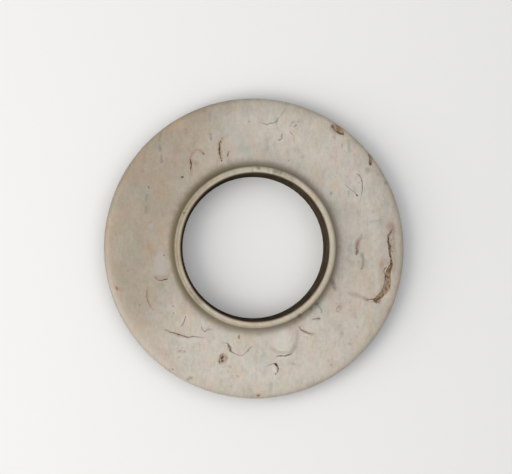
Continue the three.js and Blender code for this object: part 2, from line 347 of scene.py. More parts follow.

# Soft stains of the front face by tint: pixel, width in pixels and strength. The pale rows along the
# southeast and south oval cracks and inside the south hook are painted highlights on raised edges.
STAIN_PIXELS = {
    "rust": [
        [(382, 262, 6, 0.15), (382, 276, 6, 0.25), (381, 290, 7, 0.3), (372, 300, 7, 0.3)],
        [(347, 293.4, 4, 0.15), (354, 294.8, 5.4, 0.3), (360, 296.6, 5.4, 0.2), (368, 300, 5, 0.35)],
        [(374.6, 301, 5, 0.7), (379, 302, 5, 0.6)], (318, 318.6, 4.8, 0.5),
        [(391.5, 233, 6, 0.3), (393, 243, 6, 0.35), (394.2, 258, 5, 0.3), (393.5, 272, 4, 0.2)],
        [(393.6, 235.6, 3, 0.5), (392.6, 239.4, 3, 0.5)], (222.4, 358.4, 9.6, 0.75),
        [(228.6, 345.4, 3.4, 0.4), (230.6, 350, 4.4, 0.6)], (248, 350.4, 3.4, 0.35),
        [(180.4, 351, 4, 0.4), (184.6, 351.8, 4, 0.35)], (179.4, 357.2, 3.4, 0.4),
        (337.4, 128.8, 14, 0.7), [(370.4, 155, 5, 0.6), (371.2, 159, 6, 0.6), (370.6, 163.8, 4, 0.6)],
        [(114.4, 286.4, 4, 0.35), (117.6, 288.6, 5, 0.5), (121, 290.4, 4, 0.35)],
        [(147.9, 240, 3, 0.25), (149.3, 248.5, 4.5, 0.4), (155.4, 254.6, 4, 0.35)],
        [(147.2, 290, 2.4, 0.5), (147.4, 296, 2.6, 0.55), (148.2, 301.2, 2.6, 0.5),
         (153.5, 310, 2.4, 0.3)], (239.6, 337, 5, 0.4),
        [(222.4, 138.8, 3.4, 0.5), (219.6, 144, 4.4, 0.7), (219.8, 152, 4.6, 0.7),
         (221.4, 160, 3.8, 0.65)],
        [(191, 161, 3.8, 0.7), (191, 168, 3.6, 0.6), (190.8, 174.6, 3.2, 0.5)],
        [(282, 134, 3, 0.2), (279, 140.4, 3, 0.2)], [(281, 115.5, 3, 0.22), (285.6, 108.4, 3, 0.18)],
        (258.8, 395.4, 6, 0.5), [(276, 364.6, 4.5, 0.35), (277.4, 371.5, 4, 0.3)],
        [(165, 330, 3, 0.2), (187, 337.4, 4, 0.35)],
        [(300, 328, 3.4, 0.4), (305, 331.6, 4, 0.5), (313, 334.6, 4, 0.35)],
    ],
    "ochre": [
        (178.5, 121.8, 18, 0.22), (327.6, 290.6, 12, 0.55), (303, 318.8, 6, 0.5), (247, 338, 10, 0.3),
        (307, 312.4, 6, 0.5), (334.6, 186, 12, 0.3), (262, 156, 8, 0.3),
    ],
    "mauve": [
        [(390.4, 226.6, 12, 0.8), (392.6, 232, 7, 0.7)],
        [(384.5, 246, 6, 0.35), (385.2, 254, 7, 0.4), (382.6, 262, 7, 0.5), (380.2, 268.5, 6, 0.35)],
        [(383, 222, 14, 0.2), (387, 240, 18, 0.25), (387, 258, 18, 0.25), (384, 276, 14, 0.2)],
        [(349, 293, 5.4, 0.25), (357, 295.4, 5.4, 0.25)],
        [(361.6, 236, 4.4, 0.45), (358, 241.6, 5.4, 0.7), (357, 247, 5.2, 0.8),
         (356.9, 253, 4.6, 0.75)],
        [(296.8, 331, 4, 0.4), (296.9, 340, 4.5, 0.55), (294.4, 348, 4.5, 0.5),
         (288.5, 352.4, 3.6, 0.45), (277, 351.8, 4, 0.4), (270.8, 347, 4, 0.35)],
        [(190.8, 159, 2.8, 0.7), (192, 154.4, 3, 0.7), (195, 151, 3, 0.7), (198.6, 149.6, 2.8, 0.7),
         (203.4, 153, 3, 0.7)], (195.6, 163, 6, 0.6), [(224.2, 136.6, 4, 0.35), (230, 134.6, 4, 0.25)],
        (229, 160.5, 7, 0.25), [(155.4, 276.6, 4, 0.5), (161, 277.8, 4.5, 0.55), (168.6, 276, 4, 0.4)],
        (358.8, 183, 3.4, 0.35), [(154.5, 158, 5, 0.16), (152.5, 175, 5, 0.16)],
        (181.7, 139.9, 4, 0.35),
    ],
    "lilac": [
        [(159.6, 256, 12, 0.6), (160.4, 270, 13, 0.7)], (197, 157, 9, 0.4), (240, 140, 26, 0.35),
        (181, 157, 12, 0.3), (151, 226, 7, 0.35),
    ],
    "blue": [
        [(160.6, 134, 2.6, 0.95), (159.4, 141, 2.6, 0.95)],
        [(159.6, 145, 2.8, 0.9), (160.2, 151, 2.6, 0.95)],
        [(161, 155.6, 2.6, 0.8), (161.6, 161.8, 3.4, 0.95)], (164.6, 167, 3, 0.3),
        (149.2, 190.6, 2.2, 0.7), [(146.6, 195.6, 3, 0.6), (146, 201, 2.6, 0.55)],
        [(145.9, 206.6, 3, 0.7), (145.8, 212, 3, 0.65)], (127.7, 198, 3.4, 0.4), (142, 171.5, 3.6, 0.5),
        (163.4, 216, 2.6, 0.35), (150.6, 222, 3.4, 0.3), (152, 231, 3, 0.25),
        [(144.2, 152, 3.4, 0.3), (144, 163.4, 3.6, 0.3)],
        [(186.2, 129, 2.6, 0.6), (186.4, 133.4, 2.4, 0.5)], (203.6, 111.2, 4, 0.5),
        [(209.6, 113.6, 3, 0.45), (209.8, 121, 2.4, 0.35)], (215, 117.6, 4, 0.3),
        [(211.2, 134.4, 3, 0.6), (211, 139.6, 2.8, 0.55)], [(266.5, 140, 5, 0.25), (267, 151, 6, 0.35)],
        [(244, 153, 18, 0.2), (261, 151, 18, 0.2), (276, 155, 14, 0.15)], (269.6, 147, 3, 0.4),
        (264.6, 150.6, 3, 0.35), (302.6, 157.4, 4, 0.3), (334.6, 137, 4.4, 0.35),
        [(349, 141, 4.4, 0.3), (349, 151, 4, 0.25)], (331.1, 193.6, 3.4, 0.6),
        [(348.8, 191.4, 2.8, 0.45), (348.8, 196.4, 2.8, 0.4)], (367.6, 170, 7, 0.45),
        (378, 175, 3, 0.4), (385.9, 182.8, 4, 0.55), (373, 211.8, 4, 0.25), (366.4, 204.2, 3, 0.25),
        [(371, 221.6, 2.6, 0.25), (380, 220.4, 2.6, 0.3)], (160.6, 285.6, 8, 0.35),
        (165.4, 291, 5, 0.2), (135.7, 285.9, 4, 0.4), (165.6, 305.8, 4, 0.3), (160.6, 312.6, 2.6, 0.4),
        (166, 315.6, 4, 0.25), (140, 304.6, 3.4, 0.35), (341.8, 333.7, 4, 0.45),
        (338.8, 325.5, 4, 0.35), (357.1, 327, 3.4, 0.45), (350, 343.9, 4.4, 0.4),
        (331.1, 365.3, 4, 0.4), (328.6, 360.2, 3.4, 0.35), (292.9, 364, 4.6, 0.3),
        (339.3, 307.7, 3.4, 0.45), (337.8, 311.2, 3, 0.4),
        [(271, 383.6, 4.6, 0.3), (270.4, 390.6, 4, 0.25)], (230.4, 367, 3, 0.45),
        (228.4, 372, 2.4, 0.4), (221, 380.6, 5, 0.25), (297.2, 381.6, 4.6, 0.2),
        (237.9, 376.6, 3.4, 0.45), (226.6, 357.2, 4.6, 0.25), (214, 338, 3, 0.3),
        (191.4, 377.6, 4, 0.25), (352, 262.6, 6, 0.25), (368.6, 288.6, 4, 0.35),
        (358.4, 261.6, 4, 0.35), (381.6, 223.4, 5, 0.3),
        [(361.6, 253.6, 3.4, 0.4), (363, 258, 3.8, 0.4), (363.4, 263, 3.8, 0.4), (362, 268, 3.8, 0.4)],
        (363.4, 238, 3, 0.3), (298.6, 121.6, 2.6, 0.35), (223.8, 145, 2, 0.4),
    ],
    "chalk_and_highlight": [
        [(283, 337, 20, 0.55), (281.6, 345.6, 20, 0.6)], [(385.6, 250, 6, 0.5), (385.2, 257, 5, 0.45)],
        (386.2, 252.2, 2.4, 0.9), (388.6, 288, 2.2, 0.8),
        # Painted highlights: inside the south hook, and on the raised edges of the southeast and south
        # oval cracks
        [(274.4, 367.2, 3.6, 1), (274.8, 370.6, 3.8, 1)],
        [(301.8, 327.8, 1.8, 0.8), (305, 330.4, 2, 0.9), (309.8, 331.4, 2, 0.7)],
        [(304.8, 334.4, 2, 0.8), (309, 335.6, 2, 0.5)],
        [(278.5, 353.4, 1.8, 0.8), (287.4, 353.3, 1.8, 0.8)],
        [(280, 358, 1.8, 0.5), (288, 357.4, 1.8, 0.5)], [(376, 292.4, 6, 0.25), (389.8, 296.6, 5, 0.3)],
        (178, 324.6, 5, 0.35), [(178, 338.6, 4, 0.2), (196, 341, 5, 0.3)], (214.6, 321, 5, 0.2),
        (257, 340, 8, 0.2),
    ],
    "soil": [
        [(331.6, 280, 4, 0.4), (333.4, 285, 5.4, 0.6), (335, 290, 4, 0.4)], (316.6, 304, 3.8, 0.7),
        [(318.4, 306, 2.2, 0.5), (321, 309.6, 2.2, 0.45), (321.6, 313.6, 2, 0.3)],
        (311, 308.4, 4.4, 0.5), (298.6, 315.6, 4.8, 0.85), (338.6, 247, 3, 0.35),
        [(361.6, 254, 3, 0.15), (363.2, 260, 3, 0.25), (362.4, 267, 3, 0.25)],
        [(342.2, 144, 2, 0.4), (342.2, 147, 1.8, 0.35)],
        [(228.9, 151.6, 2.6, 0.35), (227.8, 156, 2.8, 0.4)],
        [(349.4, 245.6, 4.2, 0.2), (349.6, 250.6, 4.2, 0.2)],
        [(188.6, 379, 4, 0.4), (191.6, 377.4, 3, 0.35)],
        [(225.8, 354.4, 3.4, 0.25), (226.6, 358, 3.6, 0.3), (225, 362, 3.4, 0.2)],
        [(360, 296.4, 4, 0.15), (367, 299.6, 3.6, 0.3)],
    ],
}

# Stains of the collar's top by tint: pixel, width in pixels and strength
COLLAR_PIXELS = {
    "grain": [
        [(191.4, 289.6, 6, 0.8), (196, 296.4, 7, 1), (201.6, 303, 5, 0.6)], (258.6, 168, 5, 0.9),
        [(275.6, 171.8, 6.4, 1), (280.4, 173, 6, 0.9)], [(284.6, 174.6, 5, 0.5), (291, 177.6, 5, 0.35)],
    ],
    "foot": [
        (184.2, 212.7, 3.2, 1), [(252.9, 168.6, 1.2, 0.4), (252.8, 172.4, 1.2, 0.4)],
        [(272.9, 168.8, 1.2, 0.6), (272.5, 174.6, 1.2, 0.6)], (207, 309.6, 2, 0.3),
        (241.6, 323.2, 3, 0.3),
    ],
    "mauve": [(268.4, 171.2, 6, 0.3), [(206, 191, 5, 0.2), (202, 196, 4, 0.2)]],
    "chalk_and_highlight": [[(266, 172.6, 4, 0.5), (271, 173.4, 3.6, 0.6)]],
    "blue": [(186, 208.6, 3, 0.5), [(291, 180, 6, 0.3), (298, 184, 6, 0.2)]],
}

# The shallow turned groove along the lip: radius and width, and the bearings that it runs between
LIP_GROOVE = (31.95, 0.32)
LIP_GROOVE_BEARINGS = (92, 222)
LIP_GROOVE_DEPTH = 0.05

# Fissures, pits and chips deep enough to hold a solid lump of earth. A row is the pixel and the
# width in pixels. Level is how far the lump's top lies under the flange's face. The edges' shares
# say how dark the broken stone is on the right and on the left of the way that the rows run, stain
# how brown it is, tone how light the earth is, ruddy how reddish, and pale how near to the stone's
# own colour it comes. Spots are its darkest crumbs and holes: pixel, width in pixels and strength.
CAVITIES = {
    "east_fissure_upper_deposit": {
        "rows": [
            (388.4, 238.6, 1.4), (388.6, 243.4, 2), (389.9, 247.8, 3.2), (390, 252.2, 2),
            (390.8, 256.6, 1.4),
        ],
        "depth": 0.9, "level": 0.3, "edge_shares": (0.6, 0.4), "stain": 0.8, "tone": 0.45, "ruddy": 0.2,
        "pale": 0.1,
        "spots": [],
    },
    "east_fissure_lower_deposit": {
        "rows": [
            (391.8, 260.6, 1.4), (391.6, 264.6, 2.8), (390.2, 268.6, 4), (388.2, 272.4, 4.8),
            (387.6, 277, 4.8), (388, 281.6, 4.2), (387.9, 285.6, 5.2), (386.6, 289.4, 5),
            (383.8, 292.8, 4.4), (380.8, 295.6, 4.6), (377.8, 298.2, 3.8), (375.4, 300.2, 3.6),
        ],
        "depth": 0.9, "level": 0.14, "edge_shares": (0.25, 0.35), "stain": 0.75, "tone": 0.8,
        "ruddy": 0.25, "pale": 0.1,
        "spots": [
            [(391.9, 263, 1.3, 0.7), (390.8, 268.6, 1.3, 0.6), (389.6, 273, 1.2, 0.4)],
            [(385.8, 276.4, 1.3, 0.5), (385.2, 281.4, 1.2, 0.4), (384.2, 286.6, 1.4, 0.7),
             (381.6, 291.4, 1.4, 0.6)],
            [(390.4, 276, 1.2, 0.5), (390.6, 282, 1.2, 0.6), (389.4, 287.6, 1.2, 0.4)],
            [(380, 297.6, 1.6, 0.7), (376.6, 299.8, 1.8, 0.8)],
        ],
    },
    "inner_pit_deposit": {
        "rows": [(356.8, 248.6, 1.4), (357.2, 251, 3), (356.8, 254, 1.5)],
        "depth": 0.6, "level": 0.06, "edge_shares": (0, 0), "stain": 0.2, "tone": 0.6, "ruddy": 0.3,
        "pale": 0.7,
        "spots": [[(357.8, 250.2, 1.6, 0.35), (356.8, 252.6, 1.9, 0.5)]],
    },
    "north_chip_deposit": {
        "rows": [
            (333.2, 126.2, 3.4), (336, 128, 5.4), (338.6, 130, 5.6), (341.2, 132, 4.6),
            (342.8, 133.4, 2.8),
        ],
        "depth": 1.4, "level": 0.75, "edge_shares": (0.1, 0.1), "stain": 0.6, "tone": 0.95,
        "ruddy": 0.9, "pale": 0.15,
        "spots": [
            [(336.4, 126, 2, 0.6), (338, 127, 1.6, 0.5)], (335, 129, 1.6, 0.4),
            [(337.4, 131.2, 2, 0.8), (339.4, 132.8, 2.4, 0.9), (341.2, 133.8, 1.8, 0.8)],
            (331.2, 127.1, 1.2, 0.5), (333.5, 127.1, 1.2, 0.5), (343.6, 134.5, 1.6, 0.6),
        ],
    },
    "east_chip_deposit": {
        "rows": [
            (370, 153.8, 1.8), (370.8, 156.4, 3), (371, 159.4, 3.2), (370.6, 162.2, 2.8),
            (370.2, 164.6, 1.8),
        ],
        "depth": 1.6, "level": 0.9, "edge_shares": (0, 0), "stain": 0.3, "tone": 0.5, "ruddy": 0.4,
        "pale": 0.35,
        "spots": [[(370.4, 162.2, 1.4, 0.3), (370.7, 163.6, 1.8, 0.6)], (369, 155, 1.4, 0.25)],
    },
    "northwest_fissure_deposit": {
        "rows": [(220.4, 141.4, 0.8), (219.6, 145.4, 1.2), (219.5, 150, 1.4), (220.2, 154.6, 1)],
        "depth": 0.7, "level": 0.16, "edge_shares": (0.1, 0.1), "stain": 0.8, "tone": 0.7, "ruddy": 0.5,
        "pale": 0.1,
        "spots": [
            (219.8, 144.6, 1.5, 0.6), [(219.6, 148, 1.8, 0.9), (219.7, 149.6, 1.8, 1)],
            (219.2, 153, 1.6, 0.8), (220.5, 155.8, 1.6, 0.8), (220.9, 157.8, 1.9, 1),
            (221.8, 160.8, 1.8, 0.95),
        ],
    },
    "west_fissure_deposit": {
        "rows": [(190.8, 160, 0.8), (191.1, 162.8, 1.2), (191.2, 166.2, 1.2), (190.8, 168.8, 0.8)],
        "depth": 0.6, "level": 0.26, "edge_shares": (0.4, 0.4), "stain": 0.8, "tone": 0.5, "ruddy": 0.4,
        "pale": 0.2,
        "spots": [[(191.3, 161.6, 1.4, 0.4), (191.4, 163.8, 1.5, 0.7)], (190.7, 167, 1.4, 0.6)],
    },
    "south_pit_deposit": {
        "rows": [
            (223.4, 355, 3.4), (222.7, 357, 5.4), (222, 359.4, 6), (221.2, 361.4, 5), (220.4, 362.8, 3),
        ],
        "depth": 0.7, "level": 0.03, "edge_shares": (0, 0), "stain": 0.15, "tone": 0.85, "ruddy": 0.4,
        "pale": 0.6,
        "spots": [
            [(222.8, 357, 2.8, 1), (221.8, 358.4, 2.8, 1)], (222.4, 360.8, 2.8, 1),
            (219.3, 361.6, 2.6, 0.6),
        ],
    },
    "hook_crack_deposit": {
        "rows": [(275.2, 363.9, 1.2), (277, 365.1, 1.6), (278.3, 368.2, 1), (277.8, 371, 0.8)],
        "depth": 0.7, "level": 0.3, "edge_shares": (0.45, 0.2), "stain": 0.6, "tone": 0.4, "ruddy": 0.1,
        "pale": 0,
        "spots": [
            [(275.6, 364, 2.2, 1), (276.6, 364.8, 2.5, 1)], (278.4, 368.6, 1.6, 0.9),
            (275.7, 374, 1.8, 0.8),
        ],
    },
}

# Flakes lost from the rim, as hollows of an ellipsoid: pixel of the middle, how far the middle
# lies above the flange's middle plane, and the radii along the rim, across it and upwards
SCARS = {
    "north_chip": ((339.6, 127.4), 2.55, (3.9, 2.3, 1.75)),
    "east_chip": ((374.7, 156.4), 1.7, (2.9, 1.35, 1.5)),
    "top_nick": ((258.9, 97.3), 0.9, (0.75, 0.62, 1.4)),
    "southwest_notch": ((134.2, 343.6), 0.3, (0.9, 0.55, 1.3)),
}

# Edges that stand proud beside a crack: the crack's name, the side (1 is left of its direction
# as the photograph shows it), the rise and how far it reaches
PROUD_EDGES = [
    ("southeast", 1, 0.09, 1.3),
    ("oval_south", 1, 0.08, 1.1),
    ("southwest_long", 1, 0.05, 0.9),
    ("zigzag", 1, 0.04, 0.7),
    ("east_upper", 1, 0.05, 1.2),
    ("northeast_arc", 1, 0.04, 0.9),
    ("south_hook", 1, 0.06, 0.8),
]

# Cracks and stains of the back, which no photograph shows: bearing in degrees, radius and width
BACK_DARK_SHARE = 0.6
BACK_CRACKS = [
    [(22, 43, 0.35), (27, 45, 0.5), (31, 44.2, 0.45), (36, 46.5, 0.3)],
    [(74, 52, 0.3), (78, 50.4, 0.45), (80, 47.6, 0.4), (85, 46, 0.3)],
    [(118, 41, 0.3), (121, 44, 0.55), (121.5, 47, 0.5), (124, 49.6, 0.3)],
    [(163, 55, 0.3), (166, 53, 0.4), (171, 52.4, 0.4), (176, 53.6, 0.3)],
    [(204, 44, 0.3), (208, 42.4, 0.4), (214, 42.8, 0.35)],
    [(238, 56, 0.35), (241, 53.4, 0.5), (240, 50.6, 0.45), (243, 48.4, 0.3)],
    [(282, 47, 0.3), (285, 49, 0.5), (290, 49.6, 0.4), (293, 47.8, 0.3)],
    [(327, 52, 0.3), (329, 49.4, 0.45), (334, 48.4, 0.4), (337, 45.8, 0.3)],
]
BACK_STAINS = {
    "rust": [
        [(120, 42, 1.6, 0.4), (122, 49, 1.6, 0.4)], [(240, 55, 2, 0.45), (242, 49, 1.8, 0.4)],
        [(327, 52, 1.6, 0.35), (334, 48, 1.6, 0.35)], (52, 58.5, 3, 0.5), (188, 57, 2.4, 0.4),
    ],
    "mauve": [[(30, 42, 3, 0.4), (34, 48, 3, 0.35)], (284, 51, 2.6, 0.4), (166, 50, 3, 0.3)],
    "blue": [
        [(64, 45, 1.4, 0.4), (66, 51, 1.2, 0.35)], (98, 50, 1.6, 0.35), (144, 46, 1.5, 0.35),
        [(226, 49, 1.8, 0.35), (229, 53, 1.4, 0.3)], (262, 45, 1.5, 0.35), (308, 54, 1.6, 0.4),
        (352, 49, 1.5, 0.35), (10, 54, 1.3, 0.35),
    ],
    "chalk_and_highlight": [(205, 47, 4, 0.4), (80, 55, 3, 0.35)],
}

# The masks that the stone's material is painted by
MASK_NAMES = (
    "crevice", "grain", "bore", "rust", "ochre", "mauve", "lilac", "blue", "chalk_and_highlight", "foot", "soil",
)


def pointing(degrees):
    """The direction of a bearing in plan, or of each of several."""
    turn = np.radians(degrees)
    return np.stack([np.cos(turn), np.sin(turn)], axis=-1)


# Where the earth and painted shade in the collar's foot reach out furthest, and where the lip's outer
# slope is darker
UPPER_LEFT = pointing(135)
LEFT = pointing(180)
LEFT_SLIGHTLY_DOWN = pointing(205)


def camera_axes():
    """The camera's right, up and backward directions. It stands a little to the photograph's left
    of the disc's axis and below it."""
    backward = np.array([-math.tan(CAMERA_LEAN_LEFT), -math.tan(CAMERA_LEAN_DOWN), 1])
    backward /= np.linalg.norm(backward)
    right = np.cross((0, 1, 0), backward)
    right /= np.linalg.norm(right)
    return right, np.cross(backward, right), backward


def camera_place():
    """Where the camera stands, so that the rim's middle shows at its own pixel."""
    right, up, backward = camera_axes()
    middle = np.array([0, 0, MIDDLE])
    aside = (PHOTO_SIZE[0] / 2 - RIM_CENTRE_PIXEL[0]) / PIXELS_PER_MILLIMETRE
    above = (RIM_CENTRE_PIXEL[1] - PHOTO_SIZE[1] / 2) / PIXELS_PER_MILLIMETRE
    return middle + aside * right + above * up + CAMERA_DISTANCE * backward


def cast_pixels(pixels, level):
    """Where rays through pixels of the photograph meet the level plane at a height."""
    right, up, backward = camera_axes()
    place = camera_place()
    pixels = np.asarray(pixels, float)
    aside = (pixels[:, 0] - PHOTO_SIZE[0] / 2) / PIXELS_PER_MILLIMETRE
    above = (PHOTO_SIZE[1] / 2 - pixels[:, 1]) / PIXELS_PER_MILLIMETRE
    rays = aside[:, None] * right + above[:, None] * up - CAMERA_DISTANCE * backward
    reach = (level - place[2]) / rays[:, 2]
    return (place + reach[:, None] * rays)[:, :2]


def stepped(values, low, high, to_low=0, to_high=1):
    """Values turned smoothly into others, from one at the low end to one at the high end."""
    share = np.clip((values - low) / (high - low), 0, 1)
    return to_low + (to_high - to_low) * share * share * (3 - 2 * share)


def lattice_noise(places, spacing, seed):
    """Smooth noise from -1 to 1 that changes over a spacing."""
    values = np.random.default_rng(seed).uniform(-1, 1, (NOISE_PERIOD,) * 3)
    scaled = places / spacing
    corner = np.floor(scaled).astype(int)
    share = stepped(scaled - corner, 0, 1)
    total = np.zeros(len(places))
    for step in itertools.product((0, 1), repeat=3):
        weight = np.prod(np.where(step, share, 1 - share), axis=1)
        x, y, z = ((corner + step) % NOISE_PERIOD).T
        total += weight * values[x, y, z]
    return total


def layered_noise(places, layers):
    """Several noises, each of an amount, a spacing and a seed, added up."""
    return sum(amount * lattice_noise(places, spacing, seed) for amount, spacing, seed in layers)


def sunken(places, amount, spacing, seed):
    """Noise that only lies below the surface, by up to twice the amount."""
    return amount * (lattice_noise(places, spacing, seed) - 1)


def shifted(places, plan, amount, spacing, seed):
    """Places in plan, shifted by noise so that painted and cut edges run unevenly."""
    aside = lattice_noise(places, spacing, seed)
    above = lattice_noise(places, spacing, seed + 1)
    return plan + amount * np.column_stack([aside, above])


def rounded_path(rows, steps=4):
    """Rows of a path with points added on a smooth curve through them."""
    if len(rows) < 3:
        return rows
    before = np.vstack([2 * rows[0] - rows[1], rows[:-2]])
    after = np.vstack([rows[2:], 2 * rows[-1] - rows[-2]])
    found = []
    for a, b, c, d in zip(before, rows[:-1], rows[1:], after):
        for share in np.arange(steps) / steps:
            turn = (2 * a - 5 * b + 4 * c - d) * share**2 + (3 * b - a - 3 * c + d) * share**3
            found.append(b + ((c - a) * share + turn) / 2)
    return np.array(found + [rows[-1]])


def photo_rows(rows, level=FLANGE_FRONT):
    """A path by pixels, as places on the front face with its widths in millimetres."""
    rows = np.array(rows, float, ndmin=2)
    widths = rows[:, 2:3] / PIXELS_PER_MILLIMETRE
    return np.hstack([cast_pixels(rows[:, :2], level), widths, rows[:, 3:]])


def photo_path(rows, level=FLANGE_FRONT):
    """The same as a smooth curve."""
    return rounded_path(photo_rows(rows, level))


def pit_path(pit):
    """A pit as a short path that runs its long way."""
    x, y, length, width, bearing, _ = pit
    step_x, step_y = pointing(-bearing) * max(length - width, PIT_LEAST_RUN) / 2
    end = width * PIT_END_SHARE
    return photo_path([(x - step_x, y - step_y, end), (x, y, width), (x + step_x, y + step_y, end)])


def back_path(rows):
    """A path by bearing and radius, as places in plan."""
    rows = np.array(rows, float, ndmin=2)
    return rounded_path(np.hstack([pointing(rows[:, 0]) * rows[:, 1:2], rows[:, 2:]]))


def groove_path():
    """The lip's groove as a path in plan, which fades out at both ends."""
    radius, width = LIP_GROOVE
    turned = COLLAR_CENTRE + radius * pointing(np.linspace(*LIP_GROOVE_BEARINGS, GROOVE_POINTS))
    fade = np.sin(np.linspace(*GROOVE_FADE_SHARES, GROOVE_POINTS) * math.pi)
    return np.column_stack([turned, width * fade])


def each_path(groups, to_path, *level):
    """Tables of rows by name, as tables of paths."""
    return {name: [to_path(rows, *level) for rows in paths] for name, paths in groups.items()}


def near_path(places, path, reach):
    """The places within reach of a path, with their distance from it, its values there (width and
    what follows it) and the side that they lie on."""
    low = path[:, :2].min(0) - reach
    high = path[:, :2].max(0) + reach
    index = np.flatnonzero(np.all((places > low) & (places < high), axis=1))
    found = places[index]
    distance = np.full(len(found), np.inf)
    values = np.zeros((len(found), path.shape[1] - 2))
    side = np.zeros(len(found))
    ends = path[1:] if len(path) > 1 else path
    for start, end in zip(path, ends):
        run = end[:2] - start[:2]
        offset = found - start[:2]
        share = np.clip(offset @ run / max(run @ run, LEAST_RUN_SQUARE), 0, 1)
        gap = np.linalg.norm(offset - share[:, None] * run, axis=1)
        closer = gap < distance
        distance[closer] = gap[closer]
        values[closer] = (start[2:] + share[:, None] * (end[2:] - start[2:]))[closer]
        side[closer] = np.sign(run[0] * offset[:, 1] - run[1] * offset[:, 0])[closer]
    return index, distance, values, side


FRONT_CRACKS = {name: photo_rows(rows) for name, (_, rows) in CRACKS.items()}
FRONT_PITS = [pit_path(pit) for pit in PITS]
FRONT_STAINS = each_path(STAIN_PIXELS, photo_path)
COLLAR_STAINS = each_path(COLLAR_PIXELS, photo_path, LIP_FRONT)
CAVITY_PATHS = {name: photo_path(cavity["rows"]) for name, cavity in CAVITIES.items()}
CAVITY_SPOTS = each_path({name: cavity["spots"] for name, cavity in CAVITIES.items()}, photo_path)
BACK_CRACK_PATHS = [back_path(rows) for rows in BACK_CRACKS]
BACK_STAIN_PATHS = each_path(BACK_STAINS, back_path)


def arc(centre, radius, start, end, shares):
    turn = np.radians(start + (end - start) * shares)
    return centre[0] + radius * np.cos(turn), centre[1] + radius * np.sin(turn)


def line(start, end, shares):
    return tuple(first + (last - first) * shares for first, last in zip(start, end))


def roll_off(shares):
    """The curve from the flat of the flange to the middle of the rim."""
    handles = [
        (ROLL_OFF_RADIUS, HALF_FLANGE),
        (ROLL_OFF_RADIUS + ROLL_OFF_LEVEL_SHARE * ROLL_OFF_WIDTH, HALF_FLANGE),
        (DISC_RADIUS, RIM_FULLNESS_SHARE * HALF_FLANGE),
        (DISC_RADIUS, 0),
    ]
    left = 1 - shares
    weights = [left**3, 3 * left**2 * shares, 3 * left * shares**2, shares**3]
    return sum(weight * np.array([handle]).T for weight, handle in zip(weights, handles))


def half_section(bore_radius):
    """The curves from the bore's middle over the lip to the rim, each as radius and height above
    the flange's middle plane."""
    inner = (bore_radius + LIP_INNER_ROUNDING, HALF_COLLAR - LIP_INNER_ROUNDING)
    outer = (LIP_OUTER_RADIUS - LIP_OUTER_ROUNDING, HALF_COLLAR - LIP_OUTER_ROUNDING)
    fillet = (FILLET_END_RADIUS, HALF_FLANGE + FOOT_FILLET_RADIUS)
    bore_middle = (BORE_FRONT_RADIUS + BORE_BACK_RADIUS) / 2
    return [
        lambda t: line((bore_middle, 0), (bore_radius, inner[1]), t),
        lambda t: arc(inner, LIP_INNER_ROUNDING, 180, 90, t),
        lambda t: line((inner[0], HALF_COLLAR), (outer[0], HALF_COLLAR), t),
        lambda t: arc(outer, LIP_OUTER_ROUNDING, 90, 0, t),
        lambda t: line((LIP_OUTER_RADIUS, outer[1]), (FOOT_RADIUS, fillet[1]), t),
        lambda t: arc(fillet, FOOT_FILLET_RADIUS, 180, 270, t),
        lambda t: line((FILLET_END_RADIUS, HALF_FLANGE), (ROLL_OFF_RADIUS, HALF_FLANGE), t),
        roll_off,
    ]


def section_points(curves):
    """The curves' points on the finest rows, each curve without its last point."""
    points = []
    for rows, curve in zip(SECTION_ROWS, curves):
        steps = rows * 2**FINEST_LEVEL
        points.append(curve(np.arange(steps) / steps))
    return np.hstack(points)


def whole_section():
    """Radius and height of the closed section: up the bore, out over the front and back beneath."""
    front = section_points(half_section(BORE_FRONT_RADIUS))
    back = section_points(half_section(BORE_BACK_RADIUS))
    radius = np.concatenate([front[0], [DISC_RADIUS], back[0][:0:-1]])
    height = np.concatenate([front[1], [0.0], -back[1][:0:-1]])
    return radius, MIDDLE + height


SECTION_RADIUS, SECTION_HEIGHT = whole_section()
FINE_ROWS = len(SECTION_RADIUS)
FINE_COLUMNS = TURN_COLUMNS * 2**FINEST_LEVEL


def section_normals():
    radius_run = np.roll(SECTION_RADIUS, -1) - np.roll(SECTION_RADIUS, 1)
    height_run = np.roll(SECTION_HEIGHT, -1) - np.roll(SECTION_HEIGHT, 1)
    length = np.hypot(radius_run, height_run)
    return -height_run / length, radius_run / length


NORMAL_RADIUS, NORMAL_HEIGHT = section_normals()


def turned_places(columns, rows):
    """Places and outward normals of the unworn stone on the finest grid of columns and rows."""
    bearing = columns * (2 * math.pi / FINE_COLUMNS)
    radius = SECTION_RADIUS[rows]
    share = np.clip((radius - FILLET_END_RADIUS) / (DISC_RADIUS - FILLET_END_RADIUS), 0, 1)
    reach = radius + share * OUTLINE_OVAL * np.cos(2 * (bearing - OVAL_BEARING))
    x = COLLAR_CENTRE[0] * (1 - share) + reach * np.cos(bearing)
    y = COLLAR_CENTRE[1] * (1 - share) + reach * np.sin(bearing)
    aside = NORMAL_RADIUS[rows]
    normals = [aside * np.cos(bearing), aside * np.sin(bearing), NORMAL_HEIGHT[rows]]
    return np.column_stack([x, y, SECTION_HEIGHT[rows]]), np.column_stack(normals)


def every(groups):
    return [path for paths in groups.values() for path in paths]


def mesh_details():
    """Each mark as its path, the least cell beside it and whether it is on the front."""
    marks = [
        (FRONT_CRACKS.values(), *CELLS["crack"], True),
        (FRONT_PITS, *CELLS["pit"], True),
        (CAVITY_PATHS.values(), *CELLS["cavity"], True),
        (every(CAVITY_SPOTS), *CELLS["cavity"], True),
        (every(FRONT_STAINS), *CELLS["stain"], True),
        (every(COLLAR_STAINS), *CELLS["collar"], True),
        ([groove_path()], *CELLS["collar"], True),
        (BACK_CRACK_PATHS, *CELLS["collar"], False),
        (every(BACK_STAIN_PATHS), *CELLS["back_stain"], False),
    ]
    return [(path, max(least, share * path[:, 2].mean()), on_front)
            for paths, least, share, on_front in marks for path in paths]


DETAILS = mesh_details()


